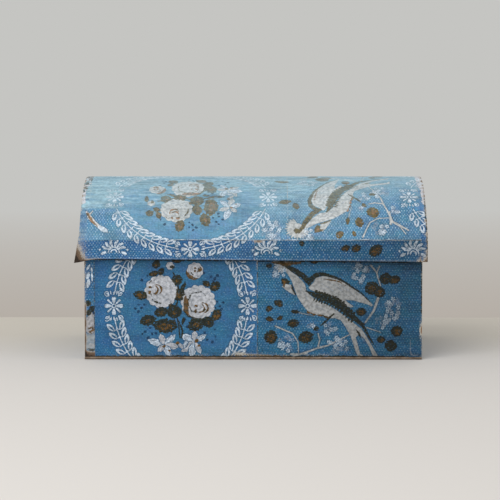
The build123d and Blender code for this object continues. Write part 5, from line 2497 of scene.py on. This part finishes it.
    def rim_board_front(self, board: bpy.types.Material) -> None:
        """Build the front rim's board as a tube along x, bent at the crushed corner.

        Args:
            board: the pasteboard.
        """
        foot, inner = node_box("lid_front_rim")[0][2], self.front + self.rim_board
        crest = float(self.height(np.array(inner), self.rim_board))
        corners = np.array([(self.front, foot), (self.front, self.crease), (inner, crest), (inner, foot)])
        shares = np.linspace(0, 1, 7)[:-1]
        loop = np.array([(1 - t) * corners[i] + t * corners[(i + 1) % 4] for i in range(4) for t in shares])
        ways = stepped((-self.half, -150, self.half), (2.0, 9.0))
        tube = carried(loop, ways, 0).transpose(1, 0, 2)
        number = np.arange(len(ways) * len(loop)).reshape(len(ways), len(loop))
        after = np.roll(number, -1, axis=1)
        quads = np.stack([number[:-1], number[1:], after[1:], after[:-1]], -1).reshape(-1, 4)
        faces = [quads, number[:1], number[-1:, ::-1]]
        rim = finish_mesh("lid_rim_board", self.settling.shift(tube.reshape(-1, 3)), faces)
        settle(rim, board, Body.LID, "lid_front_rim")

    def end_board(self, board: bpy.types.Material) -> None:
        """Build the left end's arched board, bent at the crushed corner.

        Args:
            board: the pasteboard.
        """
        low, high = node_box("lid_left_end")
        ways = stepped((high[1], -60.0, low[1]), (6.0, 1.6))
        outer = np.zeros((self.board_rows, len(ways), 3))
        outer[..., 0], outer[..., 1] = low[0], ways
        tall = self.height(ways, self.rim_board) - low[2]
        outer[..., 2] = low[2] + np.linspace(0, 1, self.board_rows)[:, None] * tall
        vertices, faces = closed_grid(outer, outer + np.array([high[0] - low[0], 0.0, 0.0]), np.arange(len(ways)))
        end = finish_mesh("lid_left_end_board", self.settling.shift(vertices), faces)
        settle(end, board, Body.LID, "lid_left_end")

    def build(self, board: bpy.types.Material) -> None:
        """Build the lid's boards and all its sheets.

        Args:
            board: the pasteboard.
        """
        self.rim_board_front(board)
        self.end_board(board)
        self.dome_sheet("dome_wallpaper_left", self.left_edge, self.dome_seam, "dome_paper_left")
        self.dome_sheet("dome_wallpaper_right", self.dome_seam, self.right_edge, "dome_paper_right")
        self.front_band("lid_rim_wallpaper_left", self.left_edge, self.band_seam, "lid_front_band_left")
        self.front_band("lid_rim_wallpaper_right", self.band_seam, self.right_edge, "lid_front_band_right")
        self.end_cover(-1, "lid_left_end_wallpaper", "lid_left_end_paper")
        self.end_cover(1, "lid_right_end_wallpaper", "lid_right_end_paper")
        self.back_band()


@dataclass
class LinenHinge:
    """One strip of linen glued to the back wall and to the lid's back rim, across the hinge line."""

    bend: float = 2.8

    def build(self) -> None:
        """Build the strip as one flat piece, with close rows about the hinge line."""
        (left, near, foot), (right, rear, _) = node_box("hinge_linen_lower")
        head, axis = node_box("hinge_linen_upper")[1][2], node_box("lid_left_end_paper")[0][2]
        heights = stepped((foot, axis - 4, axis + 4, head), (3.0, 0.4, 3.0))
        section = np.stack([np.full(len(heights), rear), heights], -1)
        outer = carried(section, spread(right, left, 8.0), 0)
        vertices, faces = closed_grid(outer, outer - np.array([0.0, rear - near, 0.0]), np.arange(outer.shape[1]))
        strip = finish_mesh("linen_hinge", vertices, faces)
        store(strip, "roll", vertices[:, [0, 2, 1]])
        strip.data.materials.append(PlainLinen().material())
        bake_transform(strip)
        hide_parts("hinge_linen_lower", "hinge_linen_upper")


@dataclass
class BareBoards:
    """The boards and the plain papers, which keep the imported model's meshes."""

    boards: tuple[str, ...] = (
        "base_board", "front_wall", "back_wall", "left_wall", "right_wall", "dome_board", "lid_back_rim",
        "lid_right_end",
    )
    linings: tuple[str, ...] = (
        "floor_lining", "front_lining", "back_lining", "left_lining", "right_lining", "dome_lining", "lid_left_lining",
        "lid_right_lining",
    )

    def dress(self, nodes: dict[str, bpy.types.Object], board: bpy.types.Material) -> None:
        """Give each board and lining its material.

        Args:
            nodes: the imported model's objects by name.
            board: the pasteboard.
        """
        lining = LaidPaper("lining_laid_paper").material()
        plain = LaidPaper("base_laid_paper", tone="A89A80", shade="7D7059").material()
        for names, material in ((self.boards, board), (self.linings, lining), (("base_paper",), plain)):
            for name in names:
                nodes[name].data.materials.clear()
                nodes[name].data.materials.append(material)
                log.info("%s: %s", name, material.name)


@dataclass
class Studio:
    """The table, the pale wall behind it, a soft lamp and the camera."""

    table: str = "CFCBC6"
    table_far: str = "C5BFB4"
    wall: str = "C5C5C2"
    shaded_wall_foot: str = "B5AEA6"
    table_back: float = 0.34
    reach: float = 12.0
    room_light: float = 0.75
    lamp_place: Place = (-0.9, -1.7, 1.7)
    lamp_aim: Place = (0.0, 0.0, 0.12)
    lamp_size: float = 1.6
    lamp_power: float = 29.0
    camera_place: Place = (0.0128, -2.5542, 0.3391)
    camera_pitch: float = 4.671
    camera_turn: float = 0.399
    lens: float = 138.07
    sensor: float = 36.0

    def floor(self) -> None:
        """Lay one wide floor, pale as the table near the box and darker towards the back, and as the wall beyond its
        back, with painted shade at the wall's foot.
        """
        mesh = bpy.data.meshes.new("floor")
        r = self.reach
        mesh.from_pydata([(-r, -r, 0), (r, -r, 0), (r, r, 0), (-r, r, 0)], [], [(0, 1, 2, 3)])
        floor = linked("floor", mesh)
        material, tree = start_material("pale_floor")
        y = node(tree, "SeparateXYZ", {0: node(tree, "TexCoord", out="Object")}, 1)
        edge = {"From Min": self.table_back - 0.004, "From Max": self.table_back + 0.004}
        beyond = node(tree, "MapRange", {"Value": y, **edge})
        seen = node(tree, "LightPath", out="Is Camera Ray")
        shown = node(tree, "Math", {0: beyond, 1: seen}, operation="MULTIPLY")
        # Painted shade: the wall is darker at its foot, where it meets the table.
        tone = laid(tree, linear(self.shaded_wall_foot), linear(self.wall), y, (self.table_back, 3.0))
        shade = laid(tree, linear(self.table), linear(self.table_far), y, (-0.13, 0.12))
        cloth = node(tree, "BsdfPrincipled", {"Base Color": shade, "Roughness": 0.9, "Specular IOR Level": 0.1})
        glow = node(tree, "Emission", {"Color": tone, "Strength": 1.0})
        node(tree, "OutputMaterial", {"Surface": node(tree, "MixShader", {0: shown, 1: cloth, 2: glow})})
        mesh.materials.append(material)

    def light(self) -> None:
        """Light the box evenly, a little more from above and from the left."""
        world = bpy.data.worlds.new("pale_room")
        bpy.context.scene.world = world
        world.use_nodes = True
        tree = world.node_tree
        tree.nodes.clear()
        room = node(tree, "Background", {"Color": linear("FFFFFF"), "Strength": self.room_light})
        wall = node(tree, "Background", {"Color": linear(self.wall), "Strength": 1.0})
        seen = node(tree, "LightPath", out="Is Camera Ray")
        node(tree, "OutputWorld", {"Surface": node(tree, "MixShader", {0: seen, 1: room, 2: wall})})
        data = bpy.data.lights.new("soft_lamp", "AREA")
        data.shape, data.size, data.energy = "SQUARE", self.lamp_size, self.lamp_power
        lamp = linked("soft_lamp", data)
        lamp.location = self.lamp_place
        aim = Vector(self.lamp_aim) - Vector(self.lamp_place)
        lamp.rotation_euler = aim.to_track_quat("-Z", "Y").to_euler()

    def camera(self) -> None:
        """Set the camera where the photograph's was, as its edges show."""
        data = bpy.data.cameras.new("camera")
        data.lens, data.sensor_width = self.lens, self.sensor
        camera = linked("camera", data)
        camera.location = self.camera_place
        camera.rotation_euler = (math.radians(90.0 - self.camera_pitch), 0.0, math.radians(self.camera_turn))
        bpy.context.scene.camera = camera

    def build(self) -> None:
        """Set up floor, lamp and camera."""
        self.floor()
        self.light()
        self.camera()
        bpy.context.scene.view_settings.view_transform = "Standard"


def main() -> None:
    """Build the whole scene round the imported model."""
    logging.basicConfig(level=logging.INFO, format="%(name)s %(message)s")
    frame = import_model()
    Studio().build()
    board = Pasteboard().material()
    BareBoards().dress(frame["nodes"], board)
    BoxFront().build()
    BoxEnds().build()
    Lid().build(board)
    LinenHinge().build()


if __name__ == "__main__":
    main()
